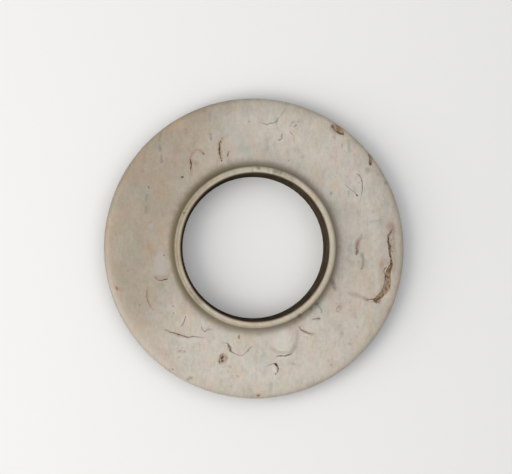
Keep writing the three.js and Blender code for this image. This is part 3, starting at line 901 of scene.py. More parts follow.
def wanted_cell(places, reach):
    """How small the mesh's cells should be at places of the unworn stone, reach apart."""
    wanted = np.full(len(places), np.inf)
    front = places[:, 2] > MIDDLE
    for path, finest, on_front in DETAILS:
        index, distance, values, _ = near_path(places[:, :2], path, CELL_SEARCH)
        covered = MARK_HALF_SHARE * values[:, 0]
        gap = np.maximum(distance - covered - CELL_HALF_SHARE * reach[index], 0)
        size = finest + gap
        size[front[index] != on_front] = np.inf
        wanted[index] = np.minimum(wanted[index], size)
    for middle, _, radii in scar_hollows():
        distance = np.linalg.norm(places - middle, axis=1) - max(radii)
        gap = np.maximum(distance - CELL_HALF_SHARE * reach, 0)
        wanted = np.minimum(wanted, SCAR_CELL + gap)
    return wanted


def scar_hollows():
    """Middle, along-the-rim direction and radii of each lost flake's hollow."""
    hollows = []
    for pixel, height, radii in SCARS.values():
        x, y = cast_pixels([pixel], MIDDLE + height)[0]
        along = np.array([-y, x, 0]) / math.hypot(x, y)
        hollows.append((np.array([x, y, MIDDLE + height]), along, radii))
    return hollows


def cells_of(levels, level):
    """Size, columns and rows of the cells that have been halved so often."""
    size = 2 ** (FINEST_LEVEL - level)
    columns, rows = np.nonzero(levels[::size, ::size] == level)
    return size, columns * size, rows * size


def cell_levels():
    """How often each place of the finest grid is halved, neighbours apart by one level at most."""
    levels = np.zeros((FINE_COLUMNS, FINE_ROWS), np.int8)
    for level in range(FINEST_LEVEL):
        size, columns, rows = cells_of(levels, level)
        middle, _ = turned_places(columns + size // 2, rows + size // 2)
        corner, along, across = (
            turned_places((columns + a) % FINE_COLUMNS, (rows + b) % FINE_ROWS)[0]
            for a, b in ((0, 0), (size, 0), (0, size)))
        sides = [np.linalg.norm(end - corner, axis=1) for end in (along, across)]
        edge = np.maximum(*sides)
        split = edge > wanted_cell(middle, edge)
        mark_blocks(levels, columns[split], rows[split], size, level + 1)
    return balanced(levels)


def mark_blocks(levels, columns, rows, size, level):
    """Raises blocks of the finest grid to a level at least."""
    blocks = levels.reshape(FINE_COLUMNS // size, size, FINE_ROWS // size, size)
    chosen = np.zeros((FINE_COLUMNS // size, FINE_ROWS // size), bool)
    chosen[columns // size, rows // size] = True
    blocks[:] = np.where(chosen[:, None, :, None], np.maximum(blocks, level), blocks)


def balanced(levels):
    for level in range(FINEST_LEVEL, 1, -1):
        fine = levels >= level
        near = fine.copy()
        for axis, way in itertools.product((0, 1), (1, -1)):
            near |= np.roll(near, way, axis)
        size = 2 ** (FINEST_LEVEL - level + 2)
        blocks = near.reshape(FINE_COLUMNS // size, size, FINE_ROWS // size, size).any(axis=(1, 3))
        columns, rows = np.nonzero(blocks)
        mark_blocks(levels, columns * size, rows * size, size, level - 1)
    return levels


def grid_faces(levels):
    """Faces of the stone as keys of the finest grid: quads where all neighbours match, fans of
    triangles round a middle where a neighbour is finer."""
    used = np.zeros((FINE_COLUMNS, FINE_ROWS), bool)
    leaves = [cells_of(levels, level) for level in range(FINEST_LEVEL + 1)]
    for size, columns, rows in leaves:
        for a, b in itertools.product((0, size), (0, size)):
            used[(columns + a) % FINE_COLUMNS, (rows + b) % FINE_ROWS] = True

    quads, triangles = [], []
    for size, columns, rows in leaves:
        ring = ring_keys(columns, rows, size)
        if size == 1:
            quads.append(ring[:, ::2])
            continue
        extra = used.ravel()[ring[:, 1::2]]
        plain = ~extra.any(axis=1)
        quads.append(ring[plain][:, ::2])
        middle = grid_key(columns + size // 2, rows + size // 2)
        for side in range(4):
            start, half = ring[:, 2 * side], ring[:, 2 * side + 1]
            end = ring[:, (2 * side + 2) % 8]
            whole = ~plain & ~extra[:, side]
            broken = extra[:, side]
            triangles.append(np.column_stack([start, end, middle])[whole])
            triangles.append(np.column_stack([start, half, middle])[broken])
            triangles.append(np.column_stack([half, end, middle])[broken])
    return np.vstack(quads), np.vstack(triangles)


def grid_key(columns, rows):
    return (columns % FINE_COLUMNS) * FINE_ROWS + rows % FINE_ROWS


def ring_keys(columns, rows, size):
    """Keys of a cell's corners and of the middles of its sides, outward side up."""
    half = size // 2
    corners = [(0, 0), (0, half), (0, size), (half, size)]
    corners += [(size, size), (size, half), (size, 0), (half, 0)]
    return np.column_stack([grid_key(columns + a, rows + b) for a, b in corners])


def crack_marks(plan, path, beads, dark_share):
    """Depth and darkness of a crack at places in plan."""
    index, distance, values, _ = near_path(plan, path, MARK_SEARCH)
    width = values[:, 0]
    beads = beads[index]
    half = CRACK_HALF_SHARE * width * (1 + CRACK_BEAD_SHARE * beads)
    dark = stepped(distance / half, *CRACK_DARK)
    cut = stepped(distance / half, *CRACK_CUT)
    strength = stepped(width, *CRACK_STRENGTH) * (1 + CRACK_BEAD_STRENGTH_SHARE * beads)
    depth = np.minimum(CRACK_DEPTH_SHARE * width, CRACK_DEEPEST)
    depth *= CRACK_FAINT_DEPTH_SHARE + (1 - CRACK_FAINT_DEPTH_SHARE) * dark_share
    return index, cut * depth, dark * np.clip(strength * dark_share, 0, 1)


def spot_marks(plan, name):
    """How dark the spots of a cavity are at places in plan."""
    dark = np.zeros(len(plan))
    for path in CAVITY_SPOTS[name]:
        index, distance, values, _ = near_path(plan, path, MARK_SEARCH)
        fall = stepped(distance / (values[:, 0] / 2), *SPOT_FALL)
        deepen(dark, fall * values[:, 1], index)
    return dark


def deepen(mask, values, index=slice(None)):
    """Raises a mask to values, at all of its places or at some."""
    mask[index] = np.maximum(mask[index], values)


def cut_cracks(places, plan, facing, masks):
    """How deep cracks, pits and spots go at each place, with their darkness painted."""
    depth = np.zeros(len(places))
    beads = lattice_noise(places, *CRACK_BEADS)
    paths = [("front", path, CRACKS[name][0]) for name, path in FRONT_CRACKS.items()]
    paths += [("front", path, pit[-1]) for path, pit in zip(FRONT_PITS, PITS)]
    paths += [("back", path, BACK_DARK_SHARE) for path in BACK_CRACK_PATHS]
    for side, path, dark_share in paths:
        index, cut, dark = crack_marks(plan, path, beads, dark_share)
        shown = facing[side][index]
        deepen(depth, cut * shown, index)
        deepen(masks["crevice"], dark * shown, index)
    for name in CAVITIES:
        dark = spot_marks(plan, name) * facing["front"]
        deepen(depth, SPOT_DEPTH * dark)
        deepen(masks["crevice"], dark)
    return depth


def paint_stains(places, plan, facing, masks):
    """Paints the soft stains of the front, the back and the collar's top."""
    blots = STAIN_LEAST_SHARE + STAIN_BLOT_SHARE * (0.5 + layered_noise(places, BLOTS))
    sides = {"front": FRONT_STAINS, "back": BACK_STAIN_PATHS, "collar": COLLAR_STAINS}
    for side, stains in sides.items():
        for name, path in [(name, path) for name, paths in stains.items() for path in paths]:
            index, distance, values, _ = near_path(plan, path, STAIN_SEARCH)
            soft = stepped(distance / (STAIN_HALF_SHARE * values[:, 0]), *STAIN_FALL)
            tone = soft * values[:, 1] * blots[index] * facing[side][index]
            deepen(masks[name], tone, index)


def proud_edges(plan, front):
    """How high the stone stands beside some cracks."""
    height = np.zeros(len(plan))
    for name, side, rise, reach in PROUD_EDGES:
        index, distance, values, found_side = near_path(plan, FRONT_CRACKS[name], PROUD_SEARCH)
        fall = stepped(distance - PROUD_START_SHARE * values[:, 0], reach, 0)
        ends = stepped(values[:, 0], *PROUD_WIDTHS)
        height[index] += rise * fall * (found_side == side) * ends * front[index]
    return height


def wear(places, normals):
    """Places of the worn stone, with the masks that its material is painted by."""
    masks = {name: np.zeros(len(places)) for name in MASK_NAMES}
    plan = places[:, :2]
    facing = {"front": normals[:, 2] > FACING_SHARE, "back": normals[:, 2] < -FACING_SHARE}
    facing["collar"] = facing["front"] & (places[:, 2] > FLANGE_FRONT + HALF_COLLAR / 2)
    wandered = shifted(places, shifted(places, plan, *WANDER), *FINE_WANDER)
    depth = cut_cracks(places, wandered, facing, masks)
    paint_stains(places, shifted(places, wandered, *STAIN_WANDER), facing, masks)

    index, distance, values, _ = near_path(plan, groove_path(), GROOVE_SEARCH)
    groove = stepped(distance / values[:, 0], *GROOVE_FALL) * facing["collar"][index]
    deepen(depth, LIP_GROOVE_DEPTH * groove, index)
    deepen(masks["foot"], GROOVE_EARTH_SHARE * groove, index)
    place_shadow_masks(places, normals, masks)

    rise = proud_edges(plan, facing["front"]) - depth
    rise += sunken(places, *SWELL) / 2 + sunken(places, *RIPPLE)
    worn = places + normals * rise[:, None]
    worn, sunk, dark = cut_cavities(worn, shifted(places, plan, *RAGGED), facing["front"])
    worn, broken = cut_scars(worn)
    deepen(masks["rust"], np.maximum(sunk, SCAR_STAIN_SHARE * broken))
    deepen(masks["crevice"], dark)
    return worn, masks


def place_shadow_masks(places, normals, masks):
    """Earth and painted shade on the lip's outer slope, in the collar's foot and in the bore."""
    offset = places[:, :2] - COLLAR_CENTRE
    radius = np.linalg.norm(offset, axis=1)
    toward = offset / radius[:, None]
    patchy = layered_noise(places, FOOT_PATCHES)
    foot = foot_earth_and_shade(offset, radius, toward, places[:, 2], patchy)
    # On the lip's outer slope: earth, with painted shade that is strongest at the left
    slope = LIP_EARTH_AND_SHADE_SHARE + LIP_EARTH_AND_SHADE_LEFT_SHARE * np.maximum(toward @ LEFT_SLIGHTLY_DOWN, 0)
    slope += LIP_EARTH_AND_SHADE_PATCH_SHARE * patchy
    slope *= stepped(radius - LIP_OUTER_RADIUS, *LIP_EARTH_AND_SHADE_EDGES)
    deepen(masks["foot"], np.where(radius > LIP_OUTER_RADIUS - LIP_TO_FOOT, foot, slope))
    # The bore's wall: dark earth stain and painted shade
    inward = -(normals[:, :2] * places[:, :2]).sum(1) / radius
    in_bore = stepped(inward, *BORE_FACING_SHARES) * (radius < LIP_OUTER_RADIUS)
    masks["bore"] = in_bore * (BORE_EARTH_AND_SHADE_SHARE + BORE_PATCH_SHARE * patchy)


def foot_earth_and_shade(offset, radius, toward, height, patchy):
    """The band of earth and painted shade round the collar's foot, which runs out in streaks."""
    left = np.maximum(toward @ LEFT, 0)
    upper_left = np.maximum(toward @ UPPER_LEFT, 0) ** 2
    turn = np.arctan2(offset[:, 1], offset[:, 0]) / (2 * math.pi)
    turned = [turn * NOISE_PERIOD * FOOT_STREAKS, radius / FOOT_STREAK_LENGTH]
    streaks = lattice_noise(np.column_stack([*turned, height / FOOT_STREAK_HEIGHT]), *FOOT_STREAK_NOISE)
    # Earth and painted shade: wider at the top and bottom, darker at the left
    reach = FOOT_REACH + np.maximum(upper_left, left) + FOOT_UPRIGHT_REACH * toward[:, 1] ** 2
    reach += FOOT_PATCH_REACH * patchy
    reach += (FOOT_STREAK_REACH + FOOT_STREAK_UPPER_LEFT_REACH * upper_left) * streaks
    dark = FOOT_SHARE + FOOT_UPPER_LEFT_SHARE * upper_left + FOOT_LEFT_SHARE * left
    return np.minimum(dark, 1) * stepped(radius - FOOT_RADIUS, reach, FOOT_START)


def cut_cavities(places, plan, front):
    """Lowers the front face over broken ledges to the floor of each fissure and pit that holds
    earth. Gives how brown each place becomes there, and how dark its broken edge is."""
    sunk = np.zeros(len(places))
    dark = np.zeros(len(places))
    rough = layered_noise(places, FLOOR_ROUGHNESS)
    for name, path in CAVITY_PATHS.items():
        floor = FLANGE_FRONT - CAVITIES[name]["depth"]
        index, distance, values, side = near_path(plan, path, MARK_SEARCH)
        outward = distance / (values[:, 0] / 2)
        inside = stepped(outward, *LEDGE) + stepped(outward, *WALL)
        drop = np.maximum(places[index, 2] - floor - rough[index], 0) * inside * front[index]
        places[index, 2] -= drop
        deep = stepped(drop, *BROKEN_DROPS)
        deepen(sunk, deep * CAVITIES[name]["stain"], index)
        deepen(dark, deep * np.where(side < 0, *CAVITIES[name]["edge_shares"]), index)
    return places, sunk, dark


def cut_scars(places):
    """Pushes the rim back to the hollow of each lost flake."""
    broken = np.zeros(len(places), bool)
    rough = 1 + layered_noise(places, BREAK_ROUGHNESS)
    for middle, along, radii in scar_hollows():
        turn = np.array([along, np.cross(along, (0, 0, 1)), (0, 0, 1)])
        local = (places - middle) @ turn.T / radii
        reach = np.linalg.norm(local, axis=1) / rough
        inside = reach < 1
        pushed = local[inside] / np.maximum(reach[inside], SCAR_HEART_SHARE)[:, None]
        places[inside] = (pushed * radii) @ turn + middle
        broken |= inside
    return places, broken


def in_scene(name, data):
    """A new object of some data, linked to the scene."""
    made = bpy.data.objects.new(name, data)
    bpy.context.scene.collection.objects.link(made)
    return made


def mesh_object(name, places, faces, masks={}):
    """A smooth mesh object in metres, with each mask as a value of its points."""
    mesh = bpy.data.meshes.new(name)
    mesh.from_pydata((places * MILLIMETRE).tolist(), [], faces)
    mesh.validate()
    mesh.polygons.foreach_set("use_smooth", [True] * len(mesh.polygons))
    for mask, values in masks.items():
        layer = mesh.attributes.new(mask, "FLOAT", "POINT")
        layer.data.foreach_set("value", values.astype(np.float32))
    mesh.update()
    return in_scene(name, mesh)


def make_stone():
    """The worn stone as one closed mesh, with its places and faces for laying earth on it."""
    quads, triangles = grid_faces(cell_levels())
    corners = np.concatenate([quads.ravel(), triangles.ravel()])
    keys, renumbered = np.unique(corners, return_inverse=True)
    worn, masks = wear(*turned_places(keys // FINE_ROWS, keys % FINE_ROWS))
    quads = renumbered[: quads.size].reshape(-1, 4)
    triangles = renumbered[quads.size:].reshape(-1, 3)
    faces = quads.tolist() + triangles.tolist()
    stone = mesh_object("weathered_stone", worn, faces, masks)
    stone.data.materials.append(stone_material("polished_stone", True))
    stone.data.materials.append(stone_material("stained_and_shaded_bore_stone", False))
    in_bore = masks["bore"] > BORE_MATERIAL_SHARE
    bore_faces = [int(in_bore[list(face)].all()) for face in faces]
    stone.data.polygons.foreach_set("material_index", bore_faces)
    return stone, worn, faces


def settled(tree, plan, lowest):
    """Places in plan, drawn inward until stone lies under each above a lowest height, and the
    stone's height there."""
    plan = plan.copy()
    heights = np.full(len(plan), lowest)
    for i in range(len(plan)):
        for _ in range(INWARD_STEPS):
            hit = tree.ray_cast(Vector((*plan[i], LIP_FRONT)), Vector((0, 0, -1)))[0]
            if hit is not None and hit.z > lowest:
                heights[i] = hit.z
                break
            plan[i] *= INWARD_SHARE
    return plan, heights


def deposit_plan(path):
    """Rows of places across a cavity, closer at its ends, with where each row's places lie from
    side to side and how full each row is."""
    steps = np.linalg.norm(np.diff(path[:, :2], axis=0), axis=1)
    walked = np.concatenate([[0], np.cumsum(steps)])
    rows = max(int(walked[-1] / EARTH_CELL), EARTH_LEAST_ROWS)
    columns = max(int(path[:, 2].max() / EARTH_CELL), EARTH_LEAST_COLUMNS)
    crowded = (1 - np.cos(np.linspace(0, math.pi, rows + 1))) / 2 * walked[-1]
    stations = crowded * EARTH_CROWDING_SHARE
    stations += np.linspace(0, walked[-1], rows + 1) * (1 - EARTH_CROWDING_SHARE)
    centre = np.column_stack([np.interp(stations, walked, path[:, k]) for k in range(3)])
    run = np.gradient(centre[:, :2], axis=0)
    run /= np.linalg.norm(run, axis=1)[:, None]
    aside = np.column_stack([-run[:, 1], run[:, 0]])
    from_middle = 2 * stations / walked[-1] - 1
    ends = np.sqrt(np.clip(1 - from_middle**EARTH_END_SQUARENESS, 0, 1))
    across = np.linspace(-1, 1, columns + 1)
    half = EARTH_HALF_SHARE * centre[:, 2] * ends
    offset = (half[:, None] * across[None, :])[:, :, None] * aside[:, None, :]
    return (centre[:, None, :2] + offset).reshape(-1, 2), across, ends


def lump_faces(rows, columns):
    """Faces of a lump's top and underside, the underside's points after the top's."""
    width = columns + 1
    count = (rows + 1) * width
    faces = []
    for i, j in itertools.product(range(rows), range(columns)):
        a = i * width + j
        faces.append((a, a + width, a + width + 1, a + 1))
        faces.append((a + count, a + count + 1, a + count + width + 1, a + count + width))
    return faces


def make_deposit(name, tree):
    """A closed lump of earth in its cavity, its top broken into lumps and terraces."""
    cavity = CAVITIES[name]
    plan, across, ends = deposit_plan(CAVITY_PATHS[name])
    lowest = FLANGE_FRONT - cavity["depth"] - DEPOSIT_OVERHANG
    flat, ground = settled(tree, plan, lowest)
    level_places = np.column_stack([flat, np.zeros(len(flat))])
    lumps = layered_noise(level_places, LUMPS)
    terrace = TERRACE_HEIGHT * np.round(layered_noise(level_places, TERRACES))
    crown = (np.sqrt(np.clip(1 - across**2, 0, 1))[None, :] * ends[:, None]).ravel()
    thickness = EARTH_CROWN_SHARE * cavity["depth"] * crown
    level = FLANGE_FRONT - cavity["level"] + (lumps + terrace) * crown
    top = np.minimum(ground + thickness + lumps * crown, level)
    spots = spot_marks(flat, name)
    top -= EARTH_SPOT_DEPTH * spots * crown
    bottom = np.minimum(ground, top) - EARTH_FOUNDATION
    rim = (np.abs(across)[None, :] == 1) | (ends[:, None] < EARTH_CLOSED_SHARE)
    top = np.where(rim.ravel(), bottom, top)
    places = np.vstack([np.column_stack([flat, top]), np.column_stack([flat, bottom])])
    masks = {
        "across": np.tile(across, 2 * len(ends)),
        "hollow": np.tile(stepped(lumps + terrace, *HOLLOW_HEIGHTS), 2),
        **{tone: np.full(len(places), cavity[tone]) for tone in ("tone", "ruddy", "pale")},
        "crevice": np.tile(spots, 2),
    }
    faces = lump_faces(len(ends) - 1, len(across) - 1)
    return joined_rims(mesh_object(name.replace("deposit", "earth"), places, faces, masks))


def joined_rims(made):
    """Joins points that share a place, so that top and underside close on each other."""
    mesh = bmesh.new()
    mesh.from_mesh(made.data)
    bmesh.ops.remove_doubles(mesh, verts=mesh.verts, dist=JOINED_WITHIN * MILLIMETRE)
    bmesh.ops.recalc_face_normals(mesh, faces=mesh.faces)
    mesh.to_mesh(made.data)
    mesh.free()
    return made


def srgb(red, green, blue):
    """A colour written as it shows on screen, as the shader's own values."""
    shares = [value / 255 for value in (red, green, blue)]
    return tuple(s / 12.92 if s <= 0.04045 else ((s + 0.055) / 1.055) ** 2.4 for s in shares) + (1,)


# The stone's colour, laid on in this order. A noise is its scale per millimetre, detail, roughness,
# stretch and shift.
EVEN = (1, 1, 1)
DRAWN_OUT = (1, 0.6, 1)
CLOUDS = ((0.055, 4, 0.6, DRAWN_OUT, 3), (0.36, 0.64))
CLOUD_TINTS = (srgb(192, 179, 160), srgb(187, 180, 166))
VEILS = {
    "blush": ((0.085, 4, 0.62, (1, 0.5, 1), 17), (0.45, 0.7, 0, 0.35), srgb(199, 180, 162)),
    "milk": ((0.12, 5, 0.6, DRAWN_OUT, 29), (0.48, 0.72, 0, 0.5), srgb(204, 198, 188)),
}
# Sides of the disc by direction, with their steps in millimetres from the middle
SIDES = {
    "low": ((0, 1), (-8, -58, 0, 0.7), srgb(207, 198, 185)),
    "corner": ((1, 1), (34, 60, 0, 0.32), srgb(206, 202, 194)),
}
# Mottles: noise, greatest share, whether it is calmer at the left, and the tints of both extremes
MOTTLES = {
    "drift": ((0.16, 3, 0.55, DRAWN_OUT, 47), 0.26, True, srgb(164, 150, 130), srgb(210, 206, 198)),
    "warmth": ((0.2, 3, 0.6, DRAWN_OUT, 149), 0.32, False, srgb(204, 177, 145), srgb(177, 178, 176)),
    "tinge": ((0.2, 4, 0.6, DRAWN_OUT, 151), 0.4, False, srgb(178, 183, 160), srgb(200, 170, 160)),
    "mottle": ((0.34, 4, 0.68, DRAWN_OUT, 59), 0.4, True, srgb(158, 145, 126), srgb(209, 203, 194)),
}
MOTTLE_MIDDLE = 0.5
MOTTLE_REACH = 0.2
SPECKS = {
    "grain": ((0.7, 4, 0.65, (1, 0.5, 1), 53), (0.35, 0.7, 0, 0.18), srgb(140, 130, 112)),
    "fleck": ((1.7, 3, 0.62, (1, 0.7, 1), 67), (0.55, 0.7, 0, 0.25), srgb(142, 132, 114)),
    "glint": ((1.3, 3, 0.62, (1, 0.7, 1), 71), (0.55, 0.72, 0, 0.24), srgb(216, 209, 199)),
    "streaks": ((0.3, 3, 0.55, (1, 0.25, 1), 83), (0.63, 0.74, 0, 0.4), srgb(153, 150, 138)),
}
# The browner, calmer left: its direction, its reach, its mottles' shares, its patches and tint
LEAN = (1, -0.3)
LEFT_REACH = (-10, -50)
CALM_SHARES = (0.82, 0.55)
LEFT_PATCHES = ((0.05, 3, 0.5, DRAWN_OUT, 41), (0.2, 0.75, 0.8, 1))
LEFT_TINT = srgb(216, 207, 196)
RIM_TINT_WIDTH = 1
RIM_TINT = srgb(249, 246, 240)
# Rim edges by direction, with their steps in millimetres from the middle and how they are mixed in:
# darker at the top, painted shade at the right and a painted highlight at the lower left
RIM_SHADE_AND_HIGHLIGHT = {
    "top": ((0, 1), (51, 58), srgb(245, 245, 245), "MULTIPLY"),
    "right": ((0.966, 0.26), (48, 56), srgb(245, 245, 245), "MULTIPLY"),
    "lower_left": ((-0.87, -0.5), (54, 61, 0, 0.16), srgb(225, 217, 204), "MIX"),
}

# Stains, earth, painted shade and cracks over it, in this order
STAIN_TINTS = {
    # Pale chalky stains, and painted highlights beside some cracks
    "chalk_and_highlight": srgb(209, 204, 192),
    "ochre": srgb(201, 174, 137),
    "lilac": srgb(176, 168, 162),
    "blue": srgb(127, 125, 108),
    "mauve": srgb(150, 125, 111),
}
RUST = ((1.3, 4, 0.7, EVEN, 97), (0.3, 0.7))
RUST_TINTS = (srgb(128, 99, 72), srgb(180, 148, 112))
SPECKLE = ((3.2, 3, 0.7, EVEN, 101), (0.38, 0.56))
SPECKLE_TINT = srgb(118, 107, 88)
LIP_TINT_WIDTH = 0.6
LIP_TINT = srgb(255, 252, 243)
# Earth and painted shade in the collar's foot, and soil stains
DIRT_AND_SHADE_TINTS = {"foot": srgb(107, 95, 69), "soil": srgb(96, 82, 60)}
# The bore wall's dark brown: earth stain and painted shade
BORE_NOISE = (0.35, 4, 0.6, EVEN, 109)
BORE_TINTS = (srgb(60, 49, 37), srgb(76, 63, 48))
CREVICE_TINT = srgb(78, 58, 41)

# The stone's polish and relief. A relief is its depth in millimetres and its strength.
GLOSS = ((0.5, 4, 0.6, (1, 0.5, 1), 113), (0.3, 0.7, 0.3, 0.44))
DULL_ROUGHNESS = 0.4
STONE_IOR = 1.6
FLECK_RELIEF_SHARE = 0.6
GRAIN_RELIEF_SHARE = 0.1
WORN_NOISE = (2.6, 4, 0.75, EVEN, 127)
STONE_RELIEF = (0.12, 0.55)

# The lumps of earth: the tints of their crust by tone, and what darkens and roughens it
CRUST = ((0.9, 4, 0.65, EVEN, 131), (0.3, 0.7))
DARK_CRUST = (srgb(80, 62, 44), srgb(110, 90, 66))
LIGHT_CRUST = (srgb(138, 116, 87), srgb(168, 145, 114))
RUDDY_CRUST = (srgb(158, 123, 90), srgb(194, 161, 127))
FINE_EARTH = (2.6, 4, 0.7, EVEN, 137)
FINE_STEP = (0.3, 0.7, -0.3, 0.3)
HOLLOW_SHARE = 0.6
STREAKS_ACROSS = 4.5
STREAKS_WANDER = 4.0
STREAK_STEP = (0.35, 0.95, 0, 0.3)
PALE_SHARE = 0.3
PALE_TINT = srgb(166, 148, 124)
SPOT_TINT = srgb(78, 58, 40)
EARTH_ROUGHNESS = 0.85
CRUMBS = (7, 3, 0.7, EVEN, 0)
CRUMBS_SHARE = 0.5
EARTH_RELIEF = (0.12, 0.8)

# The studio: a lamp is its place, its size, its power in watts and its tint
FLOOR_HALF = 700.0
FLOOR_SEEN = srgb(240, 239, 236)
FLOOR_BOUNCE = srgb(112, 110, 107)
LAMPS = {
    "overhead_softbox": ((0, 60, 900), (1500, 1500), 5.5, (1, 1, 1)),
    "left_softbox": ((-720, -150, 516), (700, 1000), 5.8, (1, 0.98, 0.95)),
}
SURROUND = {"Color": (0.9, 0.93, 1, 1), "Strength": 0.33}


class Shades:
    """A material's nodes, written as short calls that give the socket to use next."""

    def __init__(self, name):
        self.material = bpy.data.materials.new(name)
        self.material.use_nodes = True
        self.tree = self.material.node_tree
        self.tree.nodes.clear()
        self.shader = self.add("BsdfPrincipled", {})
        self.add("OutputMaterial", {"Surface": self.shader.outputs[0]})
        coordinates = self.add("TexCoord", {})
        self.place = self.scaled(coordinates.outputs["Object"], (1 / MILLIMETRE,) * 3)

    def add(self, kind, inputs, **settings):
        node = self.tree.nodes.new("ShaderNode" + kind)
        for key, value in settings.items():
            setattr(node, key, value)
        self.fill(node, inputs)
        return node

    def fill(self, node, inputs):
        """Links or sets a node's inputs."""
        for key, value in inputs.items():
            if isinstance(value, bpy.types.NodeSocket):
                self.tree.links.new(value, node.inputs[key])
            else:
                node.inputs[key].default_value = value

    def scaled(self, vector, scale):
        node = self.add("VectorMath", {0: vector, 1: scale}, operation="MULTIPLY")
        return node.outputs[0]

    def noise(self, scale, detail, roughness, stretch, shift):
        """Noise from 0 to 1 with a scale per millimetre, stretched where a share is under 1."""
        start = {0: self.scaled(self.place, stretch), 1: (shift, 2 * shift, 3 * shift)}
        moved = self.add("VectorMath", start, operation="ADD")
        inputs = {"Vector": moved.outputs[0], "Scale": scale, "Detail": detail, "Roughness": roughness}
        return self.add("TexNoise", inputs).outputs[0]

    def math(self, operation, a, b=0.0):
        return self.add("Math", {0: a, 1: b}, operation=operation).outputs[0]

    def plus(self, a, b):
        return self.math("ADD", a, b)

    def times(self, a, b):
        return self.math("MULTIPLY", a, b)

    def step(self, value, low, high, to_low=0.0, to_high=1.0):
        inputs = {"Value": value, "From Min": low, "From Max": high, "To Min": to_low, "To Max": to_high}
        return self.add("MapRange", inputs, interpolation_type="SMOOTHSTEP").outputs[0]

    def stepped(self, noise, step):
        return self.step(self.noise(*noise), *step)

    def mix(self, share, a, b, blend="MIX"):
        inputs = {"Factor": share, "A": a, "B": b}
        node = self.add("Mix", inputs, data_type="RGBA", blend_type=blend)
        return node.outputs["Result"]

    def mask(self, name):
        return self.add("Attribute", {}, attribute_name=name).outputs["Fac"]

    def along(self, x, y):
        """How far a place lies from the middle in one direction, in millimetres."""
        axes = self.add("SeparateXYZ", {0: self.place}).outputs
        return self.plus(self.times(axes["X"], x), self.times(axes["Y"], y))

    def radius(self):
        """Distance from the axis, in millimetres."""
        flat = self.scaled(self.place, (1, 1, 0))
        return self.add("VectorMath", {0: flat}, operation="LENGTH").outputs["Value"]

    def bump(self, height, distance, strength):
        inputs = {"Height": height, "Distance": distance * MILLIMETRE, "Strength": strength}
        self.fill(self.shader, {"Normal": self.add("Bump", inputs).outputs[0]})


def mottled(shades, colour, lean):
    """A colour under the mottles, which darken or tint it at one extreme and lighten it or tint it
    otherwise at the other."""
    calm = shades.step(lean, *LEFT_REACH, *CALM_SHARES)
    for noise, most, calmed, *tints in MOTTLES.values():
        value = shades.noise(*noise)
        for reach, tint in zip((MOTTLE_REACH, -MOTTLE_REACH), tints):
            share = shades.step(value, MOTTLE_MIDDLE, MOTTLE_MIDDLE + reach, 0, most)
            share = shades.times(share, calm) if calmed else share
            colour = shades.mix(share, colour, tint)
    return colour


def stone_colour(shades):
    """Greyish cream, whiter and browner in clouds, mottles and specks, with weak rosy, greenish,
    warm and cool tinges, browner at the left and paler below, darker at the top rim, with painted
    shade on the right rim and a painted highlight on the lower-left rim. Gives its grain and flecks too."""
    colour = shades.mix(shades.stepped(*CLOUDS), *CLOUD_TINTS)
    for noise, step, tint in VEILS.values():
        colour = shades.mix(shades.stepped(noise, step), colour, tint)
    for direction, step, tint in SIDES.values():
        colour = shades.mix(shades.step(shades.along(*direction), *step), colour, tint)
    lean = shades.along(*LEAN)
    colour = mottled(shades, colour, lean)
    specks = {name: shades.noise(*noise) for name, (noise, _, _) in SPECKS.items()}
    for name, (_, step, tint) in SPECKS.items():
        colour = shades.mix(shades.step(specks[name], *step), colour, tint)

    left = shades.times(shades.step(lean, *LEFT_REACH), shades.stepped(*LEFT_PATCHES))
    colour = shades.mix(left, colour, LEFT_TINT, "MULTIPLY")
    rim = shades.step(shades.radius(), ROLL_OFF_RADIUS - RIM_TINT_WIDTH, DISC_RADIUS)
    colour = shades.mix(rim, colour, RIM_TINT, "MULTIPLY")
    # Rim edges: darker at the top, painted shade at the right, a painted highlight at the lower left
    for direction, step, tint, blend in RIM_SHADE_AND_HIGHLIGHT.values():
        colour = shades.mix(shades.step(shades.along(*direction), *step), colour, tint, blend)
    return colour, specks["grain"], specks["fleck"]


def masked(shades, colour, tints):
    """A colour under the tints of some masks."""
    for name, tint in tints.items():
        colour = shades.mix(shades.mask(name), colour, tint)
    return colour


def stained_colour(shades, colour):
    """The stone's colour under its stains, broken skin, dirt, painted shade and cracks."""
    rust = shades.mix(shades.stepped(*RUST), *RUST_TINTS)
    colour = masked(shades, colour, {**STAIN_TINTS, "rust": rust})
    speckle = shades.times(shades.mask("grain"), shades.stepped(*SPECKLE))
    colour = shades.mix(speckle, colour, SPECKLE_TINT)
    lip = shades.step(shades.radius(), LIP_OUTER_RADIUS + LIP_TINT_WIDTH, LIP_OUTER_RADIUS)
    colour = shades.mix(lip, colour, LIP_TINT, "MULTIPLY")
    bore = shades.mix(shades.noise(*BORE_NOISE), *BORE_TINTS)
    return masked(shades, colour, {**DIRT_AND_SHADE_TINTS, "bore": bore, "crevice": CREVICE_TINT})


def stone_material(name, polished):
    """Pale stone, polished outside and matt with dirt and painted shade in the bore."""
    shades = Shades(name)
    colour, grain, fleck = stone_colour(shades)
    dirty = shades.math("MAXIMUM", shades.mask("foot"), shades.mask("crevice"))
    dull = shades.math("MAXIMUM", shades.mask("rust"), dirty)
    shades.fill(shades.shader, {
        "Base Color": stained_colour(shades, colour),
        "Roughness": shades.plus(shades.stepped(*GLOSS), shades.times(dull, DULL_ROUGHNESS)),
        "IOR": STONE_IOR,
    })
    if not polished:
        shades.fill(shades.shader, {"Specular IOR Level": 0})
    relief = shades.plus(grain, shades.times(fleck, FLECK_RELIEF_SHARE))
    pitted = shades.times(shades.noise(*WORN_NOISE), shades.plus(dull, shades.mask("grain")))
    shades.bump(shades.plus(shades.times(relief, GRAIN_RELIEF_SHARE), pitted), *STONE_RELIEF)
    return shades.material


